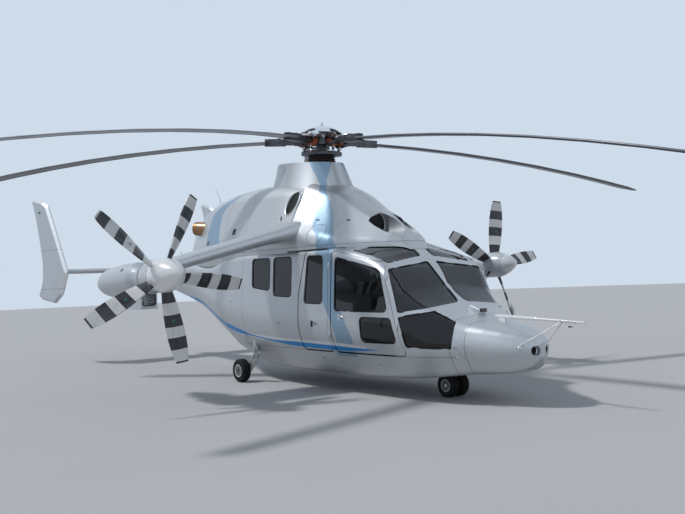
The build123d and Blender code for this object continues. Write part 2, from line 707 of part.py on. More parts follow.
# the boot round the mast stands on the fairing and does not turn
boot_low = -400.0
with BuildPart() as boot_local:
    with Locations((0, 0, boot_low)):
        Cone(235, 190, ring_low - 6 - boot_low, align=(Align.CENTER, Align.CENTER, Align.MIN))
        Cylinder(mast_radius + seat_gap, 400, align=(Align.CENTER, Align.CENTER, Align.MIN), mode=Mode.SUBTRACT)
mast_bore = rotor_place * Cylinder(mast_radius + mast_gap, 2 * (mast_length + mast_gap))
mast_boot = (rotor_place * boot_local.part) - mast_fairing.part
mast_fairing_part = mast_fairing.part - mast_bore
engine_cowling_part = engine_cowling.part - mast_bore
front_fairing_part = front_fairing.part - mast_bore

# Landing gear
half_track = main_track / 2
leg_y = -half_track + 130
leg_station = -850.0
knuckle_z = 400.0
arm_width = 70.0
axle_radius = 22.0
with BuildPart() as main_leg_right:
    with Locations((at(leg_station), leg_y, knuckle_z)):
        Cylinder(38, 500, align=(Align.CENTER, Align.CENTER, Align.MIN))
    with BuildSketch(side_plane(leg_y + arm_width / 2)):
        with Locations((leg_station, knuckle_z)):
            Circle(52)
        with Locations((main_station, main_wheel_radius)):
            Circle(42)
        make_hull()
    extrude(amount=arm_width)
    with Locations(Plane(origin=(at(main_station), leg_y, main_wheel_radius), z_dir=(0, -1, 0))):
        Cylinder(axle_radius, half_track + leg_y + main_tyre_width * 0.4,
                 align=(Align.CENTER, Align.CENTER, Align.MIN))
    add(cabin_solid, mode=Mode.SUBTRACT)


# tyre profile from the side to the tread: shares of the radius and of half the width
tyre_profile = [(0.80, 1.0), (0.95, 0.80), (1.0, 0.40)]
bead_share = 0.86


def wheel(centre, radius, width, bore, rim_share):
    # the tyre and the rim of a wheel that turns about Y
    frame = Plane(origin=centre, x_dir=(1, 0, 0), z_dir=(0, 1, 0))
    rim_radius = radius * rim_share
    left_half = [(rim_radius, bead_share * width / 2)]
    left_half += [(radius * share, side * width / 2) for share, side in tyre_profile]
    right_half = [(reach, -side) for reach, side in reversed(left_half)]
    with BuildPart() as tyre:
        with BuildSketch(Plane(origin=centre, x_dir=(1, 0, 0), z_dir=(0, 0, 1))):
            with BuildLine():
                Polyline(left_half + right_half, close=True)
            make_face()
        revolve(axis=Axis(centre, (0, 1, 0)))
    with BuildPart() as rim:
        with Locations(frame):
            Cylinder(rim_radius, width * 0.86)
            Cylinder(rim_radius * 0.72, width * 0.5, mode=Mode.SUBTRACT)
            Cylinder(rim_radius * 0.74, width * 0.3)
            Cylinder(bore, width, mode=Mode.SUBTRACT)
    return tyre.part, rim.part


main_tyre, main_rim = wheel((at(main_station), -half_track, main_wheel_radius), main_wheel_radius,
                            main_tyre_width, axle_radius + axle_gap, 0.52)

fork_top = 420.0
nose_trail = 20.0
fork_radius = 29.0
nose_axle_radius = 18.0
nose_axle_length = nose_wheel_spread + 90
tow_bore_radius = 9.0
with BuildPart() as nose_leg:
    with Locations((at(nose_station), 0, fork_top)):
        Cylinder(52, nose_well_top - fork_top - 0.3, align=(Align.CENTER, Align.CENTER, Align.MIN))
with BuildPart() as nose_fork:
    with Locations((at(nose_station), 0, fork_top - seat_gap)):
        Cylinder(fork_radius, fork_top - nose_wheel_radius, align=(Align.CENTER, Align.CENTER, Align.MAX))
    with Locations((at(nose_station) - nose_trail, 0, nose_wheel_radius)):
        Box(95, 2 * fork_radius - 4, 110)
    with Locations(Plane(origin=(at(nose_station) - nose_trail, 0, nose_wheel_radius), z_dir=(0, 1, 0))):
        Cylinder(nose_axle_radius, nose_axle_length)
        Cylinder(tow_bore_radius, nose_axle_length, mode=Mode.SUBTRACT)
nose_tyres = []
nose_rims = []
for side in (-1, 1):
    tyre, rim = wheel((at(nose_station) - nose_trail, side * nose_wheel_spread / 2, nose_wheel_radius),
                      nose_wheel_radius, nose_tyre_width, nose_axle_radius + axle_gap, 0.5)
    nose_tyres.append(tyre)
    nose_rims.append(rim)

# Inside: seats, panel, engines and gearbox
# each crew seat is a frame box, a cushion and a back: station, height over the floor and size of each
crew_seat_y = 420.0
crew_seat_blocks = [(1750, 95, 260, 300, 190), (1750, 250, 480, 460, 120), (1500, 600, 110, 460, 620)]
seat_corner = 45.0
bench_width = 1180.0
bench_blocks = [(-1120, 210, 470, 420), (-1300, 620, 110, 400)]
with BuildPart() as crew_seats:
    for side in (-1, 1):
        for station, height, length, width, thick in crew_seat_blocks:
            with Locations((at(station), side * crew_seat_y, floor_top + height)):
                Box(length, width, thick)
    fillet(crew_seats.edges().filter_by(Axis.Z).group_by(SortBy.LENGTH)[-1], radius=seat_corner)
with BuildPart() as cabin_seats:
    for station, height, length, thick in bench_blocks:
        with Locations((at(station), 0, floor_top + height)):
            Box(length, bench_width, thick)
panel_station = 2480.0
panel_size = (120.0, 1150.0, 620.0)
console_station = 2200.0
console_size = (440.0, 220.0, 330.0)
upright = (Align.CENTER, Align.CENTER, Align.MIN)
with BuildPart() as instrument_panel:
    with Locations((at(panel_station), 0, floor_top)):
        Box(*panel_size, align=upright)
    with Locations((at(console_station), 0, floor_top)):
        Box(*console_size, align=upright)

deck_floor = deck_base + 40.0
with BuildPart() as main_gearbox:
    with Locations((at(-150), 0, deck_floor + seat_gap)):
        Box(700, 640, 850, align=(Align.CENTER, Align.CENTER, Align.MIN))
engine_height = 440.0
engine_foot = 140.0
with BuildPart() as engines:
    for side in (-1, 1):
        with Locations((at(-1400), side * 330, deck_floor + seat_gap + engine_foot)):
            Box(1150, 440, engine_height, align=(Align.CENTER, Align.CENTER, Align.MIN))
        for foot in (-380, 380):
            with Locations((at(-1400 + foot), side * 330, deck_floor + seat_gap)):
                Box(90, 300, engine_foot + 1, align=(Align.CENTER, Align.CENTER, Align.MIN))

# Nose probe: a boom on a short bracket, held by two stays from the nose
probe_radius = 14.0
probe_root = Vector(at(3500), 0, 1075)
probe_tip = Vector(at(4790), 0, 1012)
probe_direction = (probe_tip - probe_root).normalized()
stay_radius = 6.5
stay_foot = (4060, 262, 745)
stay_station = 4500
with BuildPart() as nose_probe:
    with Locations(Plane(origin=probe_root, z_dir=probe_direction)):
        Cylinder(probe_radius, (probe_tip - probe_root).length, align=(Align.CENTER, Align.CENTER, Align.MIN))
    with Locations((at(3600), 0, 985)):
        Box(95, 2 * probe_radius, 85, align=(Align.CENTER, Align.CENTER, Align.MIN))
    stay_top = probe_root + probe_direction * (at(stay_station) - probe_root.X)
    for side in (-1, 1):
        foot = Vector(at(stay_foot[0]), side * stay_foot[1], stay_foot[2])
        with Locations(Plane(origin=foot, z_dir=stay_top - foot)):
            Cylinder(stay_radius, (stay_top - foot).length, align=(Align.CENTER, Align.CENTER, Align.MIN))
    add(nose_cone.part, mode=Mode.SUBTRACT)

# Exhausts
exhaust_radius = 130.0
exhaust_length = 660.0
exhaust_wall = 8.0
exhaust_planes = [Plane(origin=(at(-2780), side * 240, 2590), z_dir=(-1, side * 0.45, 0.1)) for side in (-1, 1)]
with BuildPart() as exhausts:
    with Locations(*exhaust_planes):
        Cylinder(exhaust_radius, exhaust_length, align=(Align.CENTER, Align.CENTER, Align.MIN))
        Cylinder(exhaust_radius - exhaust_wall, exhaust_length, align=(Align.CENTER, Align.CENTER, Align.MIN),
                 mode=Mode.SUBTRACT)

# Everything closed inside the cowling leaves its room there
cowl_wall = 40.0
cowl_room = hull_loft(cowl_sections, stations_between(cowl_stations, 200, -2500), cowl_wall, deck_floor)
engine_cowling_part = engine_cowling_part - cowl_room
for plane in exhaust_planes:
    duct = plane.location * Cylinder(exhaust_radius + 0.3, 2 * exhaust_length)
    engine_cowling_part = engine_cowling_part - duct

nodes = {
    "nose_cone": nose_cone.part,
    "landing_lights": landing_lights.part,
    "cabin_shell": cabin_shell.part,
    "tail_boom": tail_boom.part,
    "tail_cone": tail_cone.part,
    "stabiliser": stabiliser_part,
    "fin_right": fin_right_part,
    "fin_left": fin_right_part.mirror(Plane.XZ),
    "engine_cowling": engine_cowling_part,
    "front_fairing": front_fairing_part,
    "mast_fairing": mast_fairing_part,
    "mast_boot": mast_boot,
    "wing_right": wing_right.part,
    "wing_left": wing_right.part.mirror(Plane.XZ),
    "spinner_right": spinner.part,
    "spinner_left": spinner.part.mirror(Plane.XZ),
    "prop_blades_right": right_blades,
    "prop_blades_left": left_blades,
    "rotor_hub": rotor_hub,
    "hub_cap": hub_cap,
    "rotor_blades": rotor_blades,
    "pitch_links": pitch_links,
    "main_leg_right": main_leg_right.part,
    "main_leg_left": main_leg_right.part.mirror(Plane.XZ),
    "main_tyre_right": main_tyre,
    "main_tyre_left": main_tyre.mirror(Plane.XZ),
    "main_rim_right": main_rim,
    "main_rim_left": main_rim.mirror(Plane.XZ),
    "nose_leg": nose_leg.part,
    "nose_fork": nose_fork.part,
    "nose_tyres": Compound(children=nose_tyres),
    "nose_rims": Compound(children=nose_rims),
    "crew_seats": crew_seats.part,
    "cabin_seats": cabin_seats.part,
    "instrument_panel": instrument_panel.part,
    "main_gearbox": main_gearbox.part,
    "engines": engines.part,
    "exhausts": exhausts.part,
    "nose_probe": nose_probe.part,
}
nodes.update(nacelle_parts)
nodes.update(door_parts)
nodes.update(glass_parts)
for name, shape in nodes.items():
    shape.label = name
    export_step(shape, f"parts/{name}.step")
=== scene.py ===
# %% [markdown]
# # A compound helicopter
# This helicopter flies fast: one large rotor lifts it and two propellers on stub wings pull it forward. The
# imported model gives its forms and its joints. Here each form gets its finish, and the fine pieces are
# added: rubber round the windows, the rotor head's fittings, hoses, lamps, aerials and the cabin's seats.

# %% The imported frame
import json
import math

import bmesh
import bpy
from mathutils import Matrix, Vector
from mathutils.bvhtree import BVHTree


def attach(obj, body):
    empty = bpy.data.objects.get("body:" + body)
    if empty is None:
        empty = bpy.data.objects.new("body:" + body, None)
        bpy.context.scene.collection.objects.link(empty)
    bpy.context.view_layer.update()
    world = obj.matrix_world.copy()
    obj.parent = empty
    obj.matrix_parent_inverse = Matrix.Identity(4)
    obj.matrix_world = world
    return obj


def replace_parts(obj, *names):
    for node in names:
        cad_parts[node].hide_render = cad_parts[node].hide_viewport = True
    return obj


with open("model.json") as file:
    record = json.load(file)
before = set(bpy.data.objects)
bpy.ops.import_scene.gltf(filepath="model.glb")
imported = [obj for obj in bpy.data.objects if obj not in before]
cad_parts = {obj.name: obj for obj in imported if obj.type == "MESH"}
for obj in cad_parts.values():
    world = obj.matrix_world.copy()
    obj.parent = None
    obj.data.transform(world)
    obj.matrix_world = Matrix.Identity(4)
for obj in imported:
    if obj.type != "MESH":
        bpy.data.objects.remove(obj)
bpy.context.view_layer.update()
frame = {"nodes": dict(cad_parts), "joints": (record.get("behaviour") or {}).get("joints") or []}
joints = {joint["name"]: joint for joint in frame["joints"]}
nodes = frame["nodes"]
mast_x = Vector(joints["rotor_turn"]["pos_m"]).x


# %% [markdown]
# ## The camera
# It stands ahead of the nose on the right, at eye height, with a lens of about 42 mm. The angles come from
# matching wheels, propellers and rotor with the photograph, and the horizon leans a little.

# %% Camera
photo_width = 685
focal_pixels = 802.594
camera_place = Vector((11.144, -7.617, 1.631))
camera_yaw, camera_pitch, camera_roll = (math.radians(turn) for turn in (142.236, 1.429, -2.288))
sensor_width = 36
level = math.cos(camera_pitch)
ahead = Vector((math.cos(camera_yaw) * level, math.sin(camera_yaw) * level, math.sin(camera_pitch)))
level_right = Vector((math.sin(camera_yaw), -math.cos(camera_yaw), 0))
level_up = level_right.cross(ahead)
image_right = math.cos(camera_roll) * level_right + math.sin(camera_roll) * level_up
image_up = math.cos(camera_roll) * level_up - math.sin(camera_roll) * level_right
camera = bpy.data.objects.new("camera", bpy.data.cameras.new("camera"))
bpy.context.scene.collection.objects.link(camera)
camera.data.lens = focal_pixels / photo_width * sensor_width
camera.data.clip_end = 200
view_turn = Matrix((image_right, image_up, -ahead)).transposed().to_4x4()
camera.matrix_world = Matrix.Translation(camera_place) @ view_turn
bpy.context.scene.camera = camera
print("lens", round(camera.data.lens, 2))


# %% [markdown]
# ## Light
# A pale world lights everything softly. One sun stands high to the left, over the helicopter's right rear;
# its direction was worked out from the tips of two shadows in the photograph. A weak, wide lamp from the
# camera's right fills the shadows. The view transform stays plain, so a colour renders about as it is
# written.

# %% World and lamps
bpy.context.scene.view_settings.view_transform = "Standard"
world = bpy.data.worlds.new("studio")
bpy.context.scene.world = world
world.use_nodes = True
tree = world.node_tree
tree.nodes.clear()
world_out = tree.nodes.new("ShaderNodeOutputWorld")
rays = tree.nodes.new("ShaderNodeLightPath")
world_mix = tree.nodes.new("ShaderNodeMixShader")
seen = rays.outputs["Is Camera Ray"]
for ray in ("Is Transmission Ray", "Is Glossy Ray"):
    either = tree.nodes.new("ShaderNodeMath")
    either.operation = "MAXIMUM"
    tree.links.new(seen, either.inputs[0])
    tree.links.new(rays.outputs[ray], either.inputs[1])
    seen = either.outputs[0]
tree.links.new(seen, world_mix.inputs[0])
# first the soft light, then the plain colour that the camera, glass and glossy surfaces see
for socket, colour, strength in ((1, (0.78, 0.86, 1.0, 1), 0.42), (2, (0.62, 0.71, 0.82, 1), 1.0)):
    sky = tree.nodes.new("ShaderNodeBackground")
    sky.inputs["Color"].default_value = colour
    sky.inputs["Strength"].default_value = strength
    tree.links.new(sky.outputs[0], world_mix.inputs[socket])
tree.links.new(world_mix.outputs[0], world_out.inputs[0])

sun_from = Vector((-0.35, -0.50, 0.79)).normalized()
for name, energy, spread, towards in (
    ("sun", 1.8, 5.0, sun_from),
    ("fill", 0.20, 60.0, (0.8 * level_right - 0.5 * ahead + Vector((0, 0, 0.5))).normalized()),
):
    lamp = bpy.data.objects.new(name, bpy.data.lights.new(name, "SUN"))
    lamp.data.energy = energy
    lamp.data.angle = math.radians(spread)
    lamp.rotation_mode = "QUATERNION"
    lamp.rotation_quaternion = towards.to_track_quat("Z", "Y")
    bpy.context.scene.collection.objects.link(lamp)


# %% [markdown]
# ## Shader tools
# A material is a small network. A helper class places nodes and joins them, so that each finish reads like
# a recipe. Effects that several finishes share are node groups with named inputs: a fine flake for metallic
# paint, streaks of dirt, and seams where skin panels meet.

# %% A helper for node networks
class Network:
    def __init__(self, tree):
        self.tree = tree

    def node(self, kind, **settings):
        made = self.tree.nodes.new(kind)
        for key, value in settings.items():
            setattr(made, key, value)
        return made

    def put(self, target, value):
        if isinstance(value, bpy.types.NodeSocket):
            self.tree.links.new(value, target)
        elif isinstance(value, (tuple, list)) and len(value) == 3 and len(target.default_value) == 4:
            target.default_value = (*value, 1)
        else:
            target.default_value = value

    def maths(self, operation, *values, clamp=False):
        made = self.node("ShaderNodeMath", operation=operation, use_clamp=clamp)
        for socket, value in zip(made.inputs, values):
            self.put(socket, value)
        return made.outputs[0]

    def add(self, first, second, clamp=False):
        return self.maths("ADD", first, second, clamp=clamp)

    def less(self, first, second):
        return self.maths("SUBTRACT", first, second)

    def times(self, first, second):
        return self.maths("MULTIPLY", first, second)

    def length(self, first, second):
        return self.maths("SQRT", self.add(self.times(first, first), self.times(second, second)))

    def mix(self, share, first, second):
        made = self.node("ShaderNodeMix", data_type="RGBA")
        self.put(made.inputs[0], share)
        self.put(made.inputs[6], first)
        self.put(made.inputs[7], second)
        return made.outputs[2]

    def noise(self, place, scale, detail=2.0, roughness=0.5):
        made = self.node("ShaderNodeTexNoise")
        self.put(made.inputs["Vector"], place)
        made.inputs["Scale"].default_value = scale
        made.inputs["Detail"].default_value = detail
        made.inputs["Roughness"].default_value = roughness
        return made.outputs["Fac"]

    def ramp(self, value, low, high, low_out=0.0, high_out=1.0):
        made = self.node("ShaderNodeMapRange", interpolation_type="SMOOTHSTEP")
        self.put(made.inputs["Value"], value)
        limits = {"From Min": low, "From Max": high, "To Min": low_out, "To Max": high_out}
        for name, number in limits.items():
            made.inputs[name].default_value = number
        return made.outputs[0]

    def place(self):
        return self.node("ShaderNodeTexCoord").outputs["Object"]

    def axes(self, place):
        made = self.node("ShaderNodeSeparateXYZ")
        self.tree.links.new(place, made.inputs[0])
        return made.outputs["X"], made.outputs["Y"], made.outputs["Z"]

    def between(self, value, low, high, soft=0.002):
        above = self.ramp(value, low - soft, low + soft)
        below = self.ramp(value, high - soft, high + soft, 1.0, 0.0)
        return self.times(above, below)

    def over(self, value, limit, soft):
        # 1 where the value is above the limit, 0 where it is below
        return self.ramp(self.less(value, limit), -soft, soft)

    def surface(self, shader, colour, rough):
        self.put(shader.inputs["Base Color"], colour)
        self.put(shader.inputs["Roughness"], rough)

    def follow(self, value, points):
        # a height that follows a table of (value, height) pairs, by a smooth curve
        lows = [p[0] for p in points]
        highs = [p[1] for p in points]
        made = self.node("ShaderNodeFloatCurve")
        share = self.maths("DIVIDE", self.less(value, min(lows)), max(lows) - min(lows), clamp=True)
        self.tree.links.new(share, made.inputs["Value"])
        span = max(highs) - min(highs) or 1.0
        curve = made.mapping.curves[0]
        while len(curve.points) < len(points):
            curve.points.new(0.5, 0.5)
        for spot, (low, high) in zip(curve.points, sorted(points)):
            spot.location = ((low - min(lows)) / (max(lows) - min(lows)), (high - min(highs)) / span)
            spot.handle_type = "AUTO_CLAMPED"
        made.mapping.update()
        return self.add(self.times(made.outputs[0], span), min(highs))


print("network helper ready")


# %% Node groups and finishes
def new_group(name, inputs, outputs):
    tree = bpy.data.node_groups.new(name, "ShaderNodeTree")
    for socket, kind, value in inputs:
        made = tree.interface.new_socket(name=socket, in_out="INPUT", socket_type=kind)
        if value is not None:
            made.default_value = value
    for socket, kind in outputs:
        tree.interface.new_socket(name=socket, in_out="OUTPUT", socket_type=kind)
    net = Network(tree)
    return net, net.node("NodeGroupInput").outputs, net.node("NodeGroupOutput").inputs


def use_group(net, name, **values):
    made = net.node("ShaderNodeGroup", node_tree=bpy.data.node_groups[name])
    for key, value in values.items():
        net.put(made.inputs[key], value)
    return made.outputs


def new_finish(name, **shader_values):
    material = bpy.data.materials.new(name)
    material.use_nodes = True
    material.node_tree.nodes.clear()
    net = Network(material.node_tree)
    out = net.node("ShaderNodeOutputMaterial")
    shader = net.node("ShaderNodeBsdfPrincipled")
    net.tree.links.new(shader.outputs[0], out.inputs["Surface"])
    for key, value in shader_values.items():
        net.put(shader.inputs[key.replace("_", " ")], value)
    return material, net, shader, net.place()


def dirt_on(net, place, amount):
    return use_group(net, "weather_streaks", Place=place, Amount=amount)["Mask"]


def bump(net, shader, height, distance, strength=1.0):
    made = net.node("ShaderNodeBump")
    made.inputs["Strength"].default_value = strength
    made.inputs["Distance"].default_value = distance
    net.tree.links.new(height, made.inputs["Height"])
    net.tree.links.new(made.outputs[0], shader.inputs["Normal"])


print("finishes start from new_finish")


# %% Flake, dirt and seam groups
flake, put_in, put_out = new_group(
    "paint_flake",
    [("Place", "NodeSocketVector", None), ("Strength", "NodeSocketFloat", 1.0)],
    [("Shade", "NodeSocketFloat"), ("Height", "NodeSocketFloat")],
)
cells = flake.node("ShaderNodeTexVoronoi")
cells.inputs["Scale"].default_value = 900
flake.tree.links.new(put_in["Place"], cells.inputs["Vector"])
grain = flake.node("ShaderNodeTexWhiteNoise")
flake.tree.links.new(cells.outputs["Position"], grain.inputs["Vector"])
wave = flake.noise(put_in["Place"], 2.2, 3.0)
fine = flake.times(flake.less(grain.outputs["Value"], 0.5), 0.10)
shade = flake.add(fine, flake.times(flake.less(wave, 0.5), 0.16))
flake.put(put_out["Shade"], flake.times(shade, put_in["Strength"]))
flake.put(put_out["Height"], flake.noise(put_in["Place"], 420.0, 2.0))

dirt, put_in, put_out = new_group(
    "weather_streaks",
    [("Place", "NodeSocketVector", None), ("Amount", "NodeSocketFloat", 0.5)],
    [("Mask", "NodeSocketFloat")],
)
stretch = dirt.node("ShaderNodeMapping")
dirt.tree.links.new(put_in["Place"], stretch.inputs["Vector"])
stretch.inputs["Scale"].default_value = (9.0, 9.0, 1.3)
streak = dirt.ramp(dirt.noise(stretch.outputs[0], 1.6, 6.0, 0.62), 0.46, 0.80)
spots = dirt.ramp(dirt.noise(put_in["Place"], 26.0, 5.0, 0.6), 0.55, 0.85)
both = dirt.maths("MAXIMUM", streak, dirt.times(spots, 0.6))
dirt.put(put_out["Mask"], dirt.times(both, put_in["Amount"]))

seam, put_in, put_out = new_group(
    "panel_seam",
    [("Value", "NodeSocketFloat", 0.0), ("Spot", "NodeSocketFloat", 0.0),
     ("Width", "NodeSocketFloat", 0.0035)],
    [("Mask", "NodeSocketFloat")],
)
away = seam.maths("ABSOLUTE", seam.less(put_in["Value"], put_in["Spot"]))
share = seam.maths("DIVIDE", away, put_in["Width"])
seam.put(put_out["Mask"], seam.ramp(share, 0.7, 1.3, 1.0, 0.0))
print("groups", [g.name for g in bpy.data.node_groups])


# %% Painted and moulded finishes
def painted(name, colour, roughness, coat, weather):
    # a plain painted or moulded finish with a little flake, dirt and unevenness
    material, net, shader, place = new_finish(name, Coat_Weight=coat, Coat_Roughness=0.12)
    flakes = use_group(net, "paint_flake", Place=place, Strength=0.35)
    streaks = dirt_on(net, place, weather)
    lighter = tuple(min(1.0, c * 1.12) for c in colour)
    darker = tuple(c * 0.86 for c in colour)
    base = net.mix(net.add(flakes["Shade"], 0.5, clamp=True), darker, lighter)
    rough = net.add(net.times(streaks, 0.4), roughness)
    net.surface(shader, net.mix(streaks, base, (0.18, 0.17, 0.15)), rough)
    bump(net, shader, flakes["Height"], 0.0002, 0.4)
    return material


print("painted finishes ready")


# %% [markdown]
# ## Silver skin with its livery
# The whole hull is one metallic silver. A pale blue-grey band climbs from the door up over the fairing, a
# second one sweeps round the cowling's rear, and a bright blue stripe with a white edge runs along the
# lower side. All of it is painted on, so it is masked in the paint by station and height. Panel seams and
# rivet rows are cut into the same material as dark lines and small dimples.

# %% Livery tables, stations ahead of the mast and heights
pale_band_back = [(0.55, 1.36), (0.77, 1.44), (0.91, 1.417), (1.03, 1.364), (1.18, 1.268), (1.30, 1.18),
                  (1.70, 1.05), (1.99, 0.985), (2.17, 0.985), (2.25, 0.93), (2.38, 0.77), (2.51, 0.69),
                  (2.64, 0.63), (2.80, 0.553), (2.96, 0.478), (3.08, 0.343), (3.19, 0.274), (3.31, 0.184),
                  (3.42, 0.118), (3.60, 0.0)]
pale_band_front = [(0.55, 1.80), (0.77, 1.80), (0.92, 1.748), (1.03, 1.684), (1.20, 1.60), (1.70, 1.45),
                   (1.97, 1.377), (2.155, 1.285), (2.23, 1.252), (2.35, 1.134), (2.485, 1.02), (2.62, 0.904),
                   (2.78, 0.759), (2.95, 0.578), (3.08, 0.423), (3.18, 0.40), (3.29, 0.385), (3.40, 0.355),
                   (3.60, 0.32)]
rear_band_front = [(2.20, -1.90), (2.30, -1.96), (2.60, -2.11), (2.77, -2.13), (2.88, -2.06), (2.96, -1.93),
                   (3.05, -1.70), (3.30, -1.40)]
rear_band_back = [(2.20, -2.60), (2.34, -2.65), (2.64, -2.66), (2.81, -2.60), (2.92, -2.42), (2.99, -2.25),
                  (3.08, -1.85), (3.30, -1.45)]
blue_centre = [(-4.6, 1.43), (-3.2, 1.225), (-2.1, 0.955), (-1.15, 0.80), (-0.04, 0.69), (0.66, 0.668),
               (1.84, 0.655), (2.3, 0.665)]
blue_half = [(-4.6, 0.004), (-3.2, 0.040), (-2.1, 0.050), (-1.15, 0.034), (-0.6, 0.010), (-0.04, 0.018),
             (0.66, 0.036), (1.84, 0.018), (2.3, 0.002)]
white_top = [(-1.6, 0.86), (-1.02, 0.80), (0.0, 0.757), (0.66, 0.742), (1.4, 0.735), (2.1, 0.70)]
white_low = [(-4.6, 1.40), (-3.2, 1.165), (-2.1, 0.892), (-1.15, 0.755), (-0.04, 0.66), (0.66, 0.62)]
seam_stations = (3.30, -1.02, -1.82, -2.95, -4.15, -5.45, -6.35)
seam_heights = (0.60, 2.095)
seam_width = 0.0030
rivet_pitch, rivet_row, rivet_edge = 0.045, 0.022, (0.003, 0.0055)


# %% Silver skin
def livery_on(net, station, z, colour):
    for back, front in ((pale_band_back, pale_band_front), (rear_band_back, rear_band_front)):
        ahead_of = net.over(station, net.follow(z, back), 0.004)
        behind = net.over(net.follow(z, front), station, 0.004)
        low, high = min(p[0] for p in back), max(p[0] for p in back)
        band = net.times(net.times(ahead_of, behind), net.between(z, low, high))
        colour = net.mix(net.times(band, 0.9), colour, (0.22, 0.345, 0.46))
    middle = net.follow(station, blue_centre)
    upper = net.times(net.over(net.follow(station, white_top), z, 0.003), net.over(z, middle, 0.003))
    upper = net.times(upper, net.between(station, -1.35, 2.05))
    lower = net.times(net.over(middle, z, 0.003), net.over(z, net.follow(station, white_low), 0.003))
    lower = net.times(lower, net.between(station, -4.6, -0.5))
    colour = net.mix(net.maths("MAXIMUM", upper, lower), colour, (0.70, 0.73, 0.76))
    blue = net.over(net.follow(station, blue_half), net.maths("ABSOLUTE", net.less(z, middle)), 0.002)
    return net.mix(net.times(blue, net.between(station, -4.6, 2.3)), colour, (0.01, 0.25, 0.62))


def silver_skin(name, livery=True, seams=seam_stations, levels=seam_heights, painted_highlight_edge=False):
    material, net, shader, place = new_finish(name, Metallic=0.66, Coat_Weight=0.16, Coat_Roughness=0.16)
    x, y, z = net.axes(place)
    station = net.less(x, mast_x)
    flakes = use_group(net, "paint_flake", Place=place, Strength=1.0)
    colour = net.mix(net.add(flakes["Shade"], 0.5, clamp=True), (0.43, 0.45, 0.47), (0.62, 0.645, 0.67))
    if livery:
        colour = livery_on(net, station, z, colour)
    if painted_highlight_edge:
        # painted highlight: faces that look forward, along the leading edge, are painted as a bright strip
        forward = net.axes(net.node("ShaderNodeNewGeometry").outputs["Normal"])[0]
        colour = net.mix(net.ramp(forward, 0.45, 0.75), colour, (0.86, 0.87, 0.88))
    seam_mask, rivets = 0.0, 0.0
    for value, other, spots in ((station, z, seams), (z, station, levels)):
        for spot in spots:
            found = use_group(net, "panel_seam", Value=value, Spot=spot, Width=seam_width)["Mask"]
            seam_mask = net.maths("MAXIMUM", seam_mask, found)
            across = net.less(net.maths("ABSOLUTE", net.less(value, spot)), rivet_row)
            along = net.less(net.maths("FLOORED_MODULO", other, rivet_pitch), rivet_pitch / 2)
            rivets = net.maths("MAXIMUM", rivets, net.ramp(net.length(across, along), *rivet_edge, 1.0, 0.0))
    streaks = dirt_on(net, place, 0.07)
    colour = net.mix(streaks, colour, (0.20, 0.20, 0.19))
    colour = net.mix(net.times(seam_mask, 0.8), colour, (0.03, 0.03, 0.035))
    colour = net.mix(net.times(rivets, 0.25), colour, (0.10, 0.10, 0.11))
    rough = net.add(net.times(streaks, 0.4), 0.40)
    net.surface(shader, colour, net.add(rough, net.times(flakes["Shade"], 0.15)))
    ripple = net.times(net.noise(place, 1.7, 1.0), 1.3)
    bump(net, shader, net.less(ripple, net.add(seam_mask, net.times(rivets, 0.35))), 0.0020, 0.40)
    return material


skin = silver_skin("silver_skin")
skin_plain = silver_skin("silver_plain", livery=False, seams=(), levels=())
skin_nose = silver_skin("silver_nose", livery=False, seams=(3.468,), levels=())
skin_fin = silver_skin("silver_fin", livery=False, seams=(), levels=(1.62, 2.45), painted_highlight_edge=True)
print("skins", skin.name, skin_plain.name, skin_fin.name)


# %% [markdown]
# ## The other finishes
# Tinted glass, plain paint and plastic, polished, dark and bright metal, heat-stained steel, rubber and seat
# cloth. Each is a recipe of the same few tools.

# %% Glass
def tinted_glass(name, tint):
    material, net, shader, place = new_finish(name, IOR=1.5, Specular_IOR_Level=0.5)
    smear = dirt_on(net, place, 0.25)
    net.surface(shader, net.mix(smear, tint, tuple(c * 1.15 + 0.004 for c in tint)), net.times(smear, 0.06))
    net.put(shader.inputs["Transmission Weight"], 0.88)
    bump(net, shader, net.noise(place, 1.3, 1.0), 0.003, 0.2)
    return material


side_glass = tinted_glass("side_glass", (0.022, 0.026, 0.034))
front_glass = tinted_glass("front_glass", (0.09, 0.105, 0.125))
lamp_glass = tinted_glass("lamp_glass", (0.85, 0.88, 0.92))


# %% Painted, moulded and metal finishes
white_paint = painted("white_paint", (0.78, 0.79, 0.79), 0.26, coat=0.7, weather=0.12)
dark_composite = painted("dark_composite", (0.035, 0.038, 0.043), 0.42, coat=0.2, weather=0.2)
gear_paint = painted("gear_paint", (0.50, 0.54, 0.55), 0.35, coat=0.3, weather=0.4)
rim_paint = painted("rim_paint", (0.10, 0.105, 0.11), 0.45, coat=0.1, weather=0.4)
mark_green = painted("mark_green", (0.02, 0.16, 0.11), 0.4, coat=0.2, weather=0.1)
panel_plastic = painted("panel_plastic", (0.03, 0.031, 0.034), 0.6, coat=0.0, weather=0.1)
trim_grey = painted("trim_grey", (0.16, 0.165, 0.17), 0.55, coat=0.0, weather=0.2)
orange_rubber = painted("orange_rubber", (0.42, 0.12, 0.04), 0.55, coat=0.0, weather=0.4)
green_lamp = painted("green_lamp", (0.02, 0.35, 0.12), 0.15, coat=0.9, weather=0.0)
red_lamp = painted("red_lamp", (0.55, 0.01, 0.01), 0.15, coat=0.9, weather=0.0)


def metal(name, light, dark, roughness=0.32, grain=60.0, stain=0.25):
    material, net, shader, place = new_finish(name, Metallic=1.0)
    mottle = net.noise(place, grain, 4.0, 0.6)
    grime = dirt_on(net, place, stain)
    colour = net.mix(net.ramp(mottle, 0.3, 0.7), dark, light)
    net.surface(shader, net.mix(grime, colour, (0.05, 0.045, 0.04)),
                net.add(net.times(mottle, 0.2), roughness - 0.1))
    bump(net, shader, mottle, 0.0006, 0.3)
    return material


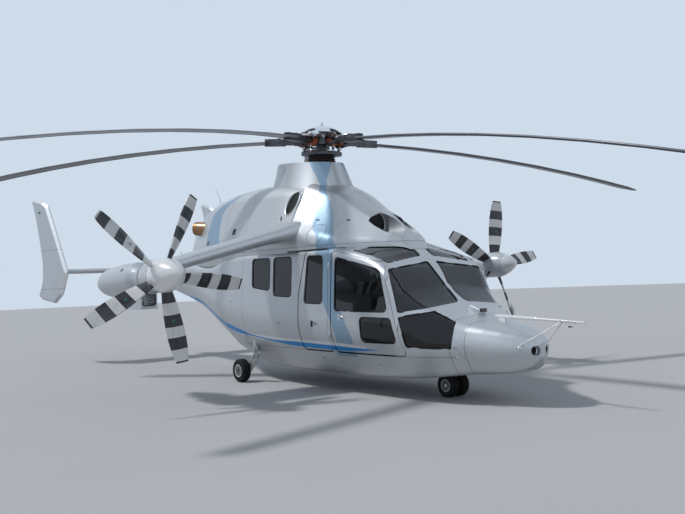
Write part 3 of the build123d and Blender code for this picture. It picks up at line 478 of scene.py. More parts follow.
polished = metal("polished_metal", (0.86, 0.87, 0.88), (0.70, 0.71, 0.73), 0.18, 12.0, 0.1)
hub_metal = metal("hub_metal", (0.15, 0.155, 0.165), (0.045, 0.047, 0.052), 0.40)
steel = metal("bright_steel", (0.72, 0.73, 0.74), (0.52, 0.53, 0.54), 0.25, 90.0)
machinery = metal("machinery", (0.30, 0.30, 0.31), (0.16, 0.16, 0.17), 0.45)


# %% Heat-stained exhaust, tyre rubber and woven cloth
exhaust_metal, net, shader, place = new_finish("exhaust_metal", Metallic=1.0)
along = net.axes(place)[0]
heat = net.ramp(net.add(along, net.times(net.noise(place, 7.0, 4.0), 0.12)), -2.55, -2.25)
burnt = net.mix(heat, (0.30, 0.135, 0.055), (0.34, 0.20, 0.11))
soot = net.ramp(net.noise(place, 5.0, 6.0, 0.65), 0.5, 0.75)
net.surface(shader, net.mix(soot, burnt, (0.07, 0.055, 0.045)), net.add(net.times(soot, 0.3), 0.33))
bump(net, shader, net.noise(place, 30.0, 3.0), 0.0008, 0.4)


def rubber(name, colour, roughness=0.72):
    material, net, shader, place = new_finish(name, Specular_IOR_Level=0.2)
    dust = net.ramp(net.noise(place, 9.0, 5.0, 0.62), 0.42, 0.78)
    net.surface(shader, net.mix(net.times(dust, 0.5), colour, (0.042, 0.040, 0.037)),
                net.add(net.times(dust, 0.12), roughness))
    bump(net, shader, net.noise(place, 260.0, 3.0), 0.0005, 0.5)
    return material


tyre_rubber = rubber("tyre_rubber", (0.012, 0.012, 0.013))
seal_rubber = rubber("seal_rubber", (0.014, 0.014, 0.016), 0.6)
boot_rubber = rubber("boot_rubber", (0.055, 0.045, 0.040), 0.7)

seat_cloth, net, shader, place = new_finish("seat_cloth", Sheen_Weight=0.4, Sheen_Roughness=0.5)
x, y, z = net.axes(place)
threads = 1500.0
warp = net.maths("SINE", net.times(net.add(x, z), threads))
weave = net.times(warp, net.maths("SINE", net.times(y, threads)))
tone = net.add(net.times(weave, 0.2), net.noise(place, 30.0, 3.0), clamp=True)
net.surface(shader, net.mix(tone, (0.035, 0.04, 0.05), (0.09, 0.10, 0.12)),
            net.add(net.times(tone, 0.1), 0.8))
bump(net, shader, weave, 0.0006, 0.4)
print("materials", len(bpy.data.materials))


# %% [markdown]
# ## Propeller stripes
# Wide black and white bands warn people away from a turning propeller. The bands are rings of radius about
# the propeller's own axis, and one blade of the right propeller is painted the other way round. Each
# spinner has a tip and a base in two tones, with a seam between them.

# %% Propeller paint
band_edges = (0.361, 0.518, 0.676, 0.815, 0.972, 1.125)
prop_centres = {side: Vector(joints[f"propeller_{side}_turn"]["pos_m"]) for side in ("right", "left")}
blade_count = 5
inverted_turn = math.radians(120.0)
inverted_edge = (math.radians(30), math.radians(31))
band_soft = 0.002
prop_first_turn = {"right": 136.6, "left": 152.2}


def prop_paint(side):
    name = "prop_paint_" + side
    material, net, shader, place = new_finish(name, Coat_Weight=0.35, Coat_Roughness=0.15)
    centre = prop_centres[side]
    left, up = net.axes(place)[1:]
    across, upward = net.less(left, centre.y), net.less(up, centre.z)
    reach = net.length(across, upward)
    dark = 1.0
    for index, edge in enumerate(band_edges):
        step = net.ramp(reach, edge - band_soft, edge + band_soft)
        sign = -1.0 if index % 2 == 0 else 1.0
        dark = net.add(dark, net.times(step, sign))
    if side == "right":
        turn = net.maths("ARCTAN2", upward, across)
        off = net.maths("ABSOLUTE", net.less(turn, inverted_turn))
        chosen = net.ramp(off, *inverted_edge, 1.0, 0.0)
        dark = net.maths("ABSOLUTE", net.less(chosen, dark))
    chips = net.ramp(net.noise(place, 55.0, 6.0, 0.7), 0.64, 0.72)
    grime = dirt_on(net, place, 0.3)
    colour = net.mix(dark, (0.70, 0.71, 0.71), (0.016, 0.018, 0.024))
    colour = net.mix(net.times(chips, 0.35), colour, (0.30, 0.30, 0.31))
    net.surface(shader, net.mix(grime, colour, (0.20, 0.20, 0.19)), net.add(net.times(chips, 0.2), 0.34))
    bump(net, shader, net.noise(place, 300.0, 2.0), 0.0003, 0.4)
    return material


spinner_paint = {}
for side, tip, base, seam_x in (("right", (0.80, 0.81, 0.81), (0.50, 0.53, 0.56), -0.02),
                                ("left", (0.78, 0.79, 0.80), (0.56, 0.60, 0.64), 0.30)):
    name = "spinner_" + side
    material, net, shader, place = new_finish(name, Metallic=0.1, Coat_Weight=0.7, Coat_Roughness=0.1)
    along = net.axes(place)[0]
    edge = prop_centres[side].x + seam_x
    share = net.ramp(along, edge - 0.003, edge + 0.003)
    flakes = use_group(net, "paint_flake", Place=place, Strength=0.5)
    colour = net.mix(share, base, tip)
    seam_line = use_group(net, "panel_seam", Value=along, Spot=edge, Width=0.0025)["Mask"]
    net.surface(shader, net.mix(net.times(seam_line, 0.6), colour, (0.1, 0.1, 0.1)),
                net.add(net.times(flakes["Shade"], 0.3), 0.25))
    bump(net, shader, flakes["Height"], 0.0003, 0.3)
    spinner_paint[side] = material
print("propeller paint", list(prop_centres))


# %% [markdown]
# ## Shaping tools
# A few functions make every added piece: tubes along a path, turned forms about an axis, bevelled blocks and
# flat plates with rounded corners. Each new piece rides on one body.

# %% Points, turns and slots
piece_names = {}
UP = Vector((0, 0, 1))
crease_angle = math.radians(38)
slot_finishes = {
    "silver_paint": "silver_plain", "white_paint": "white_paint spinner_right spinner_left",
    "dark_fairing": "dark_composite trim_grey", "gear_paint": "gear_paint", "hub_metal": "hub_metal",
    "polished_metal": "polished_metal bright_steel", "lamp_glass": "lamp_glass green_lamp red_lamp",
    "boot_rubber": "seal_rubber boot_rubber orange_rubber", "tyre": "tyre_rubber", "prop_paint": "mark_green",
    "panel_plastic": "panel_plastic screen_glass", "seat_cloth": "seat_cloth",
}
slot_of = {finish: slot for slot, finishes in slot_finishes.items() for finish in finishes.split()}


def at(station, y, z):
    # a point by its distance ahead of the mast, to the left and up
    return Vector((mast_x + station, y, z))


def turns(count, start=0.0):
    return [start + 2 * math.pi * k / count for k in range(count)]


def frame_of(x, y, z, place=(0, 0, 0)):
    # a matrix that stands at this place with its own axes along x, y and z
    return Matrix.Translation(place) @ Matrix((x, y, z)).transposed().to_4x4()


print("slots", len(slot_finishes))


# %% New pieces
def new_piece(name, shape, material, body="airframe", slot=None, smooth=True, bevel=0.0):
    slot = slot or slot_of[material.name.split(".")[0]]
    count = piece_names.get(name, 0)
    piece_names[name] = count + 1
    mesh = bpy.data.meshes.new(name if not count else f"{name}_{count + 1}")
    bmesh.ops.recalc_face_normals(shape, faces=shape.faces)
    shape.to_mesh(mesh)
    shape.free()
    obj = bpy.data.objects.new(mesh.name, mesh)
    bpy.context.scene.collection.objects.link(obj)
    mesh.materials.append(material)
    if smooth:
        mesh.polygons.foreach_set("use_smooth", [True] * len(mesh.polygons))
        mesh.set_sharp_from_angle(angle=crease_angle)
    if bevel:
        rounding = obj.modifiers.new("bevel", "BEVEL")
        rounding.width = bevel
        rounding.segments = 2
        rounding.limit_method = "ANGLE"
        rounding.harden_normals = smooth
    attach(obj, body)
    return obj


print("new pieces bevel and shade themselves")


# %% Tubes and turned forms
def side_axes(direction):
    first = direction.cross(UP if abs(direction.z) < 0.95 else Vector((1, 0, 0))).normalized()
    return first, direction.cross(first).normalized()


def add_ring(shape, centre, reach, first, second, sides):
    return [shape.verts.new(centre + reach * (math.cos(turn) * first + math.sin(turn) * second))
            for turn in turns(sides)]


def join_rings(shape, low, high, shift=0):
    count = len(low)
    for k in range(count):
        after = (k + 1) % count
        shape.faces.new((low[k], low[after], high[(after + shift) % count], high[(k + shift) % count]))


def add_tube(shape, points, radius, sides=10, closed=False, radii=None):
    points = [Vector(p) for p in points]
    rings = []
    first = None
    for index, point in enumerate(points):
        before = points[index - 1] if closed or index else point
        after = points[(index + 1) % len(points)] if closed or index < len(points) - 1 else point
        direction = (after - before).normalized()
        if first is None:
            first, second = side_axes(direction)
        else:
            first = (first - direction * first.dot(direction)).normalized()
            second = direction.cross(first)
        rings.append(add_ring(shape, point, radii[index] if radii else radius, first, second, sides))
    for low, high in zip(rings, rings[1:]):
        join_rings(shape, low, high)
    if closed:
        low, high = rings[-1], rings[0]
        join_rings(shape, low, high, min(range(sides), key=lambda s: (low[0].co - high[s].co).length))
    else:
        shape.faces.new(list(reversed(rings[0])))
        shape.faces.new(rings[-1])


def tube(name, points, radius, material, sides=10, body="airframe", closed=False, radii=None):
    shape = bmesh.new()
    add_tube(shape, points, radius, sides, closed, radii)
    new_piece(name, shape, material, body)


def add_turned(shape, profile, centre, axis, sides=32):
    # profile is a list of (radius, distance along the axis), closed by caps where the radius isn't zero
    axis = Vector(axis).normalized()
    first, second = side_axes(axis)
    rings = []
    for radius, along in profile:
        point = Vector(centre) + axis * along
        if radius < 1e-6:
            rings.append([shape.verts.new(point)])
        else:
            rings.append(add_ring(shape, point, radius, first, second, sides))
    for low, high in zip(rings, rings[1:]):
        if len(low) > 1 and len(high) > 1:
            join_rings(shape, low, high)
        elif len(low) > 1:
            for k in range(sides):
                shape.faces.new((low[k], low[(k + 1) % sides], high[0]))
        elif len(high) > 1:
            for k in range(sides):
                shape.faces.new((low[0], high[(k + 1) % sides], high[k]))
    if len(rings[0]) > 1:
        shape.faces.new(list(reversed(rings[0])))
    if len(rings[-1]) > 1:
        shape.faces.new(rings[-1])


def turned(name, profile, centre, axis, material, sides=32, body="airframe", slot=None):
    shape = bmesh.new()
    add_turned(shape, profile, centre, axis, sides)
    new_piece(name, shape, material, body, slot)


print("tubes and turned forms ready")


# %% Blocks and flat plates
def add_block(shape, centre, size, turn=None):
    made = bmesh.ops.create_cube(shape, size=1.0)
    place = Matrix.Translation(Vector(centre)) @ (turn or Matrix.Identity(4)) @ Matrix.Diagonal((*size, 1))
    bmesh.ops.transform(shape, matrix=place, verts=made["verts"])


def block(name, centre, size, material, slot=None, turn=None, bevel=0.004):
    shape = bmesh.new()
    add_block(shape, centre, size, turn)
    new_piece(name, shape, material, slot=slot, bevel=bevel)


def rounded_corners(corners, radius, steps=5):
    # a closed line through flat corners, each one rounded by a short arc
    points = []
    corners = [Vector((x, y, 0)) for x, y in corners]
    for index, corner in enumerate(corners):
        back = corners[index - 1] - corner
        ahead_of = corners[(index + 1) % len(corners)] - corner
        half = back.angle(ahead_of) / 2
        reach = min(radius / math.tan(half), 0.47 * back.length, 0.47 * ahead_of.length)
        start, end = corner + back.normalized() * reach, corner + ahead_of.normalized() * reach
        for step in range(steps + 1):
            share = step / steps
            points.append((1 - share) ** 2 * start + 2 * share * (1 - share) * corner + share ** 2 * end)
    return points


def four_sides(low, high, bottom, top, radius):
    # four rounded corners; low and high are the half widths at the bottom and at the top
    return rounded_corners([(-low, bottom), (low, bottom), (high, top), (-high, top)], radius)


def rounded_box(width, height, radius):
    return four_sides(width / 2, width / 2, -height / 2, height / 2, radius)


def add_plate(shape, points, thick, plane):
    # flat points (x, y) in the given plane, a matrix, drawn out by thick along its z
    low, high = ([shape.verts.new(plane @ Vector((p[0], p[1], z))) for p in points]
                 for z in (-thick / 2, thick / 2))
    shape.faces.new(list(reversed(low)))
    shape.faces.new(high)
    join_rings(shape, low, high)


def plane_at(centre, normal, upward=UP):
    normal = Vector(normal).normalized()
    across = Vector(upward).cross(normal).normalized()
    if across.length < 0.5:
        across = Vector((1, 0, 0))
    return frame_of(across, normal.cross(across), normal, Vector(centre))


def plate(name, points, thick, plane, material, body="airframe", slot=None, bevel=0.0015):
    shape = bmesh.new()
    add_plate(shape, points, thick, plane)
    new_piece(name, shape, material, body, slot, bevel=bevel)


print("blocks and plates ready")


# %% [markdown]
# ## Finding the skin
# Seals, handles and covers lie on the curved hull, so each is found by looking straight at the skin from
# outside and taking the first point that is hit. The hit also tells which way the skin faces there.

# %% Looking for the skin
sides_of_hull = ((-1, "right"), (1, "left"))


def both_sides(kinds):
    return [f"{kind}_{word}" for kind in kinds for word in ("right", "left")]


door_nodes = ("crew_door", "mid_door", "crew_door_glass", "mid_door_glass")
outer_nodes = ["nose_cone", "cabin_shell", "tail_boom", "engine_cowling", "front_fairing", "mast_fairing"]
outer_nodes += both_sides((*door_nodes, "wing", "nacelle", "fin"))
outer_nodes += ["windscreen", "cabin_windows", "stabiliser", "tail_cone"]
hull_nodes = ["cabin_shell", *both_sides(door_nodes), "windscreen", "cabin_windows", "tail_boom", "nose_cone"]


def tree_of(names):
    verts, faces = [], []
    for name in names:
        mesh = nodes[name].data
        start = len(verts)
        verts += [v.co.copy() for v in mesh.vertices]
        faces += [[start + k for k in p.vertices] for p in mesh.polygons]
    return BVHTree.FromPolygons(verts, faces)


skin_tree = tree_of(outer_nodes)
hull_tree = tree_of(hull_nodes)


def skin_hit(origin, direction, tree=None):
    direction = Vector(direction).normalized()
    place, normal = (tree or skin_tree).ray_cast(Vector(origin), direction)[:2]
    if place is None:
        return None, None
    if normal.dot(direction) > 0:
        normal = -normal
    return place, normal


def side_point(station, z, side, tree=None):
    return skin_hit(at(station, side * 4, z), (0, -side, 0), tree)


print("skin faces found from", len(outer_nodes), "nodes")


# %% [markdown]
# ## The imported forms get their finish
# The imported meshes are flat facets. Joining their corners and shading them smooth up to a set angle turns
# them back into curved skins, with crisp edges only where the real ones are crisp. No vertex is moved.

# %% Finish of each node
finish_nodes = (
    (skin, ["cabin_shell", "tail_boom", "engine_cowling", "front_fairing", "mast_fairing",
            *both_sides(("crew_door", "mid_door"))]),
    (skin_nose, ["nose_cone"]),
    (skin_plain, ["tail_cone", "stabiliser", *both_sides(("wing", "nacelle"))]),
    (skin_fin, both_sides(["fin"])),
    (boot_rubber, ["mast_boot"]),
    (spinner_paint["right"], ["spinner_right"]),
    (spinner_paint["left"], ["spinner_left"]),
    (prop_paint("right"), ["prop_blades_right"]),
    (prop_paint("left"), ["prop_blades_left"]),
    (hub_metal, ["rotor_hub", "pitch_links"]),
    (polished, ["hub_cap"]),
    (gear_paint, ["nose_leg", "nose_fork", *both_sides(["main_leg"])]),
    (tyre_rubber, ["nose_tyres", *both_sides(["main_tyre"])]),
    (rim_paint, ["nose_rims", *both_sides(["main_rim"])]),
    (side_glass, ["cabin_windows", *both_sides(("crew_door_glass", "mid_door_glass"))]),
    (front_glass, ["windscreen"]),
    (lamp_glass, ["landing_lights"]),
    (trim_grey, ["crew_seats", "cabin_seats"]),
    (panel_plastic, ["instrument_panel"]),
    (machinery, ["main_gearbox", "engines"]),
    (exhaust_metal, ["exhausts"]),
    (white_paint, ["nose_probe"]),
)
usual_smooth_angle = 26
smooth_angles = {"engine_cowling": 34, "front_fairing": 34, "mast_fairing": 40, "rotor_hub": 30}


def smooth_node(name, angle):
    obj = nodes[name]
    weld = obj.modifiers.new("joined corners", "WELD")
    weld.merge_threshold = 0.00005
    mesh = obj.data
    mesh.polygons.foreach_set("use_smooth", [True] * len(mesh.polygons))
    if mesh.has_custom_normals:
        bpy.context.view_layer.objects.active = obj
        bpy.ops.mesh.customdata_custom_splitnormals_clear()

    def place_of(ends):
        return tuple(sorted(tuple(round(c, 4) for c in mesh.vertices[v].co) for v in ends))

    # sharp edges are marked where two faces meet at more than the angle, found over the welded corners
    normals = {}
    for face in mesh.polygons:
        for key in face.edge_keys:
            normals.setdefault(place_of(key), []).append(face.normal)
    limit = math.cos(math.radians(angle))
    marks = [False] * len(mesh.edges)
    for edge in mesh.edges:
        found = normals.get(place_of(edge.vertices), [])
        marks[edge.index] = len(found) == 2 and found[0].dot(found[1]) < limit
    sharp = mesh.attributes.get("sharp_edge") or mesh.attributes.new("sharp_edge", "BOOLEAN", "EDGE")
    sharp.data.foreach_set("value", marks)


finished = set()
for material, names in finish_nodes:
    for name in names:
        obj = nodes[name]
        obj.data.materials.clear()
        obj.data.materials.append(material)
        for face in obj.data.polygons:
            face.material_index = 0
        smooth_node(name, smooth_angles.get(name, usual_smooth_angle))
        finished.add(name)
print("finished", len(finished), "of", len(nodes), "left:", sorted(set(nodes) - finished - {"rotor_blades"}))


# %% [markdown]
# ## Rotor blades
# The blades are dark composite, with painted shade: faces that look down are painted darker. They droop
# towards the tip in the imported form, and every fitting of the rotor head is placed by the same five
# directions.

# %% Blade directions and finish
rotor = joints["rotor_turn"]
rotor_axis = Vector(rotor["axis"]).normalized()
hub_point = Vector(rotor["pos_m"])
first_azimuth = math.radians(1.8)
rotor_forward = Vector((rotor_axis.z, 0, -rotor_axis.x))
rotor_left = rotor_axis.cross(rotor_forward)


def blade_ways(azimuth):
    # outwards along a blade, and from there towards its leading edge
    out = rotor_forward * math.cos(azimuth) + rotor_left * math.sin(azimuth)
    front = rotor_forward * math.sin(azimuth) - rotor_left * math.cos(azimuth)
    return out, front


def in_rotor(reach, azimuth, height=0.0, lead=0.0):
    # a point at this distance from the mast, along a blade's azimuth; lead is towards the leading edge
    out, front = blade_ways(azimuth)
    return hub_point + out * reach + front * lead + rotor_axis * height


blade_azimuths = turns(blade_count, first_azimuth)

blade_skin, net, shader, place = new_finish("blade_skin", Coat_Weight=0.3, Coat_Roughness=0.2)
facing = net.axes(net.node("ShaderNodeNewGeometry").outputs["Normal"])[2]
# painted shade: faces that look down take the darker colour
under = net.ramp(facing, -0.25, 0.25, 1.0, 0.0)
grime = dirt_on(net, place, 0.35)
colour = net.mix(under, (0.10, 0.115, 0.13), (0.050, 0.062, 0.075))
net.surface(shader, net.mix(grime, colour, (0.13, 0.135, 0.14)), net.add(net.times(grime, 0.2), 0.38))
bump(net, shader, net.noise(place, 40.0, 4.0), 0.0004, 0.3)
blades = nodes["rotor_blades"]
blades.data.materials.clear()
blades.data.materials.append(blade_skin)
smooth_node("rotor_blades", 50)
print("blades at", [round(math.degrees(a), 1) for a in blade_azimuths])


# %% [markdown]
# ## Rubber round the windows
# Each pane sits in a black rubber seal. The outline is the same table that cut the opening, followed along
# the skin by looking at it from the side, so the seal bends with the hull.

# %% Window outlines, stations and heights
side_windows = (
    ("crew_door", [(1.45, 1.17), (2.51, 1.16), (2.375, 1.68), (2.30, 1.725), (1.45, 1.92)]),
    ("crew_door", [(1.99, 0.76), (2.64, 0.76), (2.56, 1.085), (1.99, 1.095)]),
    ("mid_door", [(0.725, 1.275), (1.175, 1.265), (1.175, 1.945), (0.80, 1.955)]),
    ("airframe", [(-0.09, 1.385), (0.40, 1.365), (0.40, 1.96), (-0.09, 1.965)]),
    ("airframe", [(-0.71, 1.52), (-0.19, 1.465), (-0.19, 1.965), (-0.71, 1.97)]),
)
windscreen_corners = [(2.665, -0.905, 1.155), (2.95, -0.075, 1.252), (2.365, -0.06, 1.80),
                      (2.475, -0.868, 1.705)]
chin_corners = [(2.672, -0.915, 1.098), (3.11, -0.75, 1.165), (3.33, -0.555, 1.028), (3.315, -0.625, 0.705),
                (2.785, -0.90, 0.722)]
roof_corners = [(1.745, -0.838), (2.06, -0.832), (2.345, -0.765), (2.29, -0.11), (2.12, -0.11), (1.70, -0.48)]
window_radius, pane_radius = 0.075, 0.045
seal_width, seal_rise = 0.013, 0.0035


def walk(corners, radius, spacing=0.035):
    # points at even spacing along a closed outline with rounded corners
    flat = rounded_corners(corners, radius)
    points = []
    for index, start in enumerate(flat):
        end = flat[(index + 1) % len(flat)]
        steps = max(1, round((end - start).length / spacing))
        points += [start.lerp(end, k / steps) for k in range(steps)]
    return points


def skin_line(flat_points, to_world, direction):
    found = [skin_hit(to_world(point), direction, hull_tree) for point in flat_points]
    return [hit for hit in found if hit[0] is not None]


def side_line(corners, radius, side):
    return skin_line(walk(corners, radius), lambda p: at(p.x, side * 4, p.y), (0, -side, 0))


def seal(name, found, material, body="airframe", width=seal_width, rise=seal_rise):
    # a flat strip with a rounded crown that follows points on the skin
    shape = bmesh.new()
    section = [(-0.5, -0.3), (-0.42, 0.55), (0.0, 1.0), (0.42, 0.55), (0.5, -0.3)]
    rings = []
    count = len(found)
    for index, (place, normal) in enumerate(found):
        along = (found[(index + 1) % count][0] - found[index - 1][0]).normalized()
        across = along.cross(normal).normalized()
        rings.append([shape.verts.new(place + across * a * width + normal * h * rise) for a, h in section])
    for index in range(count):
        join_rings(shape, rings[index], rings[(index + 1) % count])
    new_piece(name, shape, material, body)


for side, word in sides_of_hull:
    for body, corners in side_windows:
        where = "airframe" if body == "airframe" else f"{body}_{word}"
        seal("window_seal", side_line(corners, window_radius, side), seal_rubber, where)
    for heading, corners in ((-38, windscreen_corners), (-60, chin_corners)):
        turn = math.radians(heading)
        normal = Vector((math.cos(turn), -side * math.sin(turn), 0))
        plane = plane_at(at(2.7, side * 0.56, 1.3), normal)
        flat = [plane.inverted() @ at(x, -side * y, z) for x, y, z in corners]
        points = walk([(p.x, p.y) for p in flat], pane_radius)
        line = skin_line(points, lambda p: plane @ Vector((p.x, p.y, 1.6)), -normal)
        seal("pane_seal", line, seal_rubber, width=0.018)
    points = walk([(x, -side * y) for x, y in roof_corners], pane_radius)
    seal("roof_seal", skin_line(points, lambda p: at(p.x, p.y, 4.0), (0, 0, -1)), seal_rubber, width=0.016)
print("seals", sum(count for name, count in piece_names.items() if "seal" in name))


# %% [markdown]
# ## Air intakes
# The oval intakes on the cowling and the two scoops above the roof panes breathe in air. Their dark insides
# are
# painted shade: a near-black patch follows the bottom of each pocket, and a rounded lip runs round its edge.

# %% Painted shade in the intakes, and their lips
cowl_tree = tree_of(["engine_cowling", "front_fairing"])
oval_size = (0.120, 0.200)
oval_share = 0.95
scoop_size = (0.165, 0.185)
scoop_station = 1.48
scoop_y, scoop_z = 0.185, 2.37


def shade_patch(name, plane, size, share_of, steps=6, sides=40, lift=0.003):
    # rings of points inside an ellipse, found on the skin under them; share_of(turn) limits their reach
    normal = plane.to_3x3() @ UP
    shape = bmesh.new()

    def spot(reach, turn):
        flat = Vector((size[0] * reach * math.cos(turn), size[1] * reach * math.sin(turn), 0))
        return shape.verts.new(skin_hit(plane @ flat + normal * 0.5, -normal, cowl_tree)[0] + normal * lift)

    middle = spot(0.0, 0.0)
    rings = [[spot(step / steps * share_of(turn), turn) for turn in turns(sides)]
             for step in range(1, steps + 1)]
    for k in range(sides):
        after = (k + 1) % sides
        shape.faces.new((middle, rings[0][k], rings[0][after]))
        for low, high in zip(rings, rings[1:]):
            shape.faces.new((low[k], high[k], high[after], low[after]))
    edge = [v.co.copy() for v in rings[-1]]
    # the patch is near-black rubber: painted shade at the bottom of the pocket
    new_piece(name, shape, seal_rubber)
    return edge


for side in (-1, 1):
    normal = Vector((0.10, side * 0.80, 0.59)).normalized()
    along = Vector((1, 0, -0.17))
    along = (along - normal * along.dot(normal)).normalized()
    oval = frame_of(along, normal.cross(along), normal, at(0.11, side * 0.68, 2.79))
    shade_patch("oval_intake_shade", oval, oval_size, lambda turn: oval_share)
    lip_line = []
    for turn in turns(48):
        flat = Vector((oval_size[0] * 1.06 * math.cos(turn), oval_size[1] * 1.05 * math.sin(turn), 0))
        lip_line.append(skin_hit(oval @ flat + normal * 0.5, -normal, cowl_tree))
    seal("oval_lip", lip_line, skin_plain, width=0.030, rise=0.012)

    def on_wall(turn):
        # the reach at which the scoop's back wall still stands behind the opening
        for step in range(19, 3, -1):
            reach = step / 20
            eye = at(3.0, side * scoop_y + scoop_size[0] * reach * math.cos(turn),
                     scoop_z + scoop_size[1] * reach * math.sin(turn))
            spot = skin_hit(eye, (-1, 0, 0), cowl_tree)[0]
            if spot is not None and abs(spot.x - mast_x - scoop_station) < 0.01:
                return reach
        return 0.2

    scoop = frame_of((0, 1, 0), (0, 0, 1), (1, 0, 0), at(scoop_station, side * scoop_y, scoop_z))
    edge = shade_patch("scoop_shade", scoop, scoop_size, on_wall)
    tube("scoop_lip", edge, 0.006, skin_plain, 8, closed=True)
print("intakes", piece_names["oval_intake_shade"], piece_names["scoop_shade"])


# %% [markdown]
# ## The rotor head
# Under the polished cap, five sleeves carry the blades on rubber bearings. Dampers lie beside the sleeves,
# pitch links come up from the turning ring, and two scissor links make that ring follow the mast.

# %% Sleeves, bearings, dampers and pitch horns
def rotor_frame(azimuth):
    out = blade_ways(azimuth)[0]
    return frame_of(out, rotor_axis.cross(out), rotor_axis)


sleeve_profile = [(0.0, 0.0), (0.058, 0.0), (0.070, 0.02), (0.070, 0.10), (0.060, 0.13), (0.056, 0.30),
                  (0.066, 0.34), (0.066, 0.38), (0.052, 0.42), (0.048, 0.56), (0.0, 0.56)]
cuff_profile = [(0.0, 0.0), (0.044, 0.0), (0.049, 0.01), (0.049, 0.05), (0.044, 0.06), (0.0, 0.06)]
bolt_profile = [(0.0, -0.060), (0.014, -0.060), (0.014, -0.050), (0.010, -0.048), (0.010, 0.048),
                (0.016, 0.050), (0.016, 0.064), (0.009, 0.069), (0.0, 0.069)]
damper_profile = [(0.0, 0.0), (0.020, 0.0), (0.024, 0.02), (0.024, 0.05), (0.046, 0.06), (0.050, 0.07),
                  (0.050, 0.22), (0.046, 0.235), (0.018, 0.24), (0.016, 0.32), (0.026, 0.33), (0.026, 0.36),
                  (0.0, 0.365)]
grip_outline = rounded_corners([(0.0, -0.072), (0.34, -0.048), (0.34, 0.048), (0.0, 0.072)], 0.03)
lug_outline = four_sides(0.05, 0.035, -0.06, 0.06, 0.02)
# the root bearing is a stack of rubber layers, each a little smaller than the one before
bearing_profile = [(0.0, 0.0)]
for layer in range(5):
    radius, height = 0.105 - 0.004 * layer, 0.016 * layer
    bearing_profile += [(radius, height), (radius, height + 0.010), (radius - 0.010, height + 0.012)]
bearing_profile.append((0.0, 0.08))
for azimuth in blade_azimuths:
    turned_to = rotor_frame(azimuth)
    out, front = blade_ways(azimuth)
    turned("blade_sleeve", sleeve_profile, in_rotor(0.34, azimuth, 0.01), out, hub_metal, 28, "main_rotor")
    turned("root_ring", cuff_profile, in_rotor(0.86, azimuth, 0.005), out, white_paint, 28, "main_rotor")
    for height in (0.050, -0.050):
        grip_place = Matrix.Translation(in_rotor(0.62, azimuth, height)) @ turned_to
        plate("blade_grip", grip_outline, 0.013, grip_place, hub_metal, "main_rotor")
    for reach in (0.70, 0.88):
        turned("grip_bolt", bolt_profile, in_rotor(reach, azimuth), rotor_axis, steel, 12, "main_rotor")
    # the damper, a small cylinder and its rod, lies along the sleeve on its trailing side
    turned("lag_damper", damper_profile, in_rotor(0.24, azimuth, 0.075, -0.135), out - 0.12 * front, polished,
           20, "main_rotor")
    lug_place = Matrix.Translation(in_rotor(0.60, azimuth, 0.05, -0.11)) @ turned_to
    plate("damper_lug", lug_outline, 0.03, lug_place, white_paint, "main_rotor")
    turned("root_bearing", bearing_profile, in_rotor(0.26, azimuth, 0.01), out, orange_rubber, 28,
           "main_rotor")
    # pitch horn from the sleeve's leading side down to the link
    horn = [in_rotor(0.42, azimuth, -0.02, 0.02), in_rotor(0.40, azimuth, -0.04, 0.12),
            in_rotor(0.33, azimuth, -0.075, 0.13), in_rotor(0.292, azimuth, -0.085, 0.06)]
    tube("pitch_horn", horn, 0, hub_metal, 12, "main_rotor", radii=[0.026, 0.024, 0.018, 0.015])
print("rotor head pieces on", blade_count, "blades")


# %% The cap's silver, with a near-black arch of painted shade over each blade root
cap_silver, net, shader, place = new_finish("cap_silver", Metallic=0.9)


def along_axis(place, direction):
    moved = net.node("ShaderNodeVectorMath", operation="SUBTRACT")
    net.put(moved.inputs[0], place)
    moved.inputs[1].default_value = hub_point
    made = net.node("ShaderNodeVectorMath", operation="DOT_PRODUCT")
    net.put(made.inputs[0], moved.outputs[0])
    made.inputs[1].default_value = direction
    return made.outputs["Value"]


u, v = along_axis(place, rotor_forward), along_axis(place, rotor_left)
reach = net.length(u, v)
turn = net.less(net.maths("ARCTAN2", v, u), first_azimuth)
sector = 2 * math.pi / blade_count
off = net.less(net.maths("FLOORED_MODULO", net.add(turn, sector / 2), sector), sector / 2)
wide = net.maths("DIVIDE", net.times(reach, off), 0.085)
deep = net.maths("DIVIDE", net.less(0.350, reach), 0.105)
# painted shade: an arch over each blade root, standing for a cut-out, is painted near black, duller and sunk
# in
arch_shade = net.ramp(net.add(net.times(wide, wide), net.times(deep, deep)), 0.94, 1.06, 1.0, 0.0)
silver = net.mix(net.noise(place, 14.0, 3.0), (0.66, 0.70, 0.74), (0.80, 0.83, 0.86))
net.surface(shader, net.mix(arch_shade, silver, (0.012, 0.012, 0.014)), net.add(net.times(arch_shade, 0.5), 0.20))
net.put(shader.inputs["Metallic"], net.less(0.9, net.times(arch_shade, 0.85)))
bump(net, shader, net.times(arch_shade, -1.0), 0.004, 0.5)
nodes["hub_cap"].data.materials[0] = cap_silver
print("cap finish", cap_silver.name)


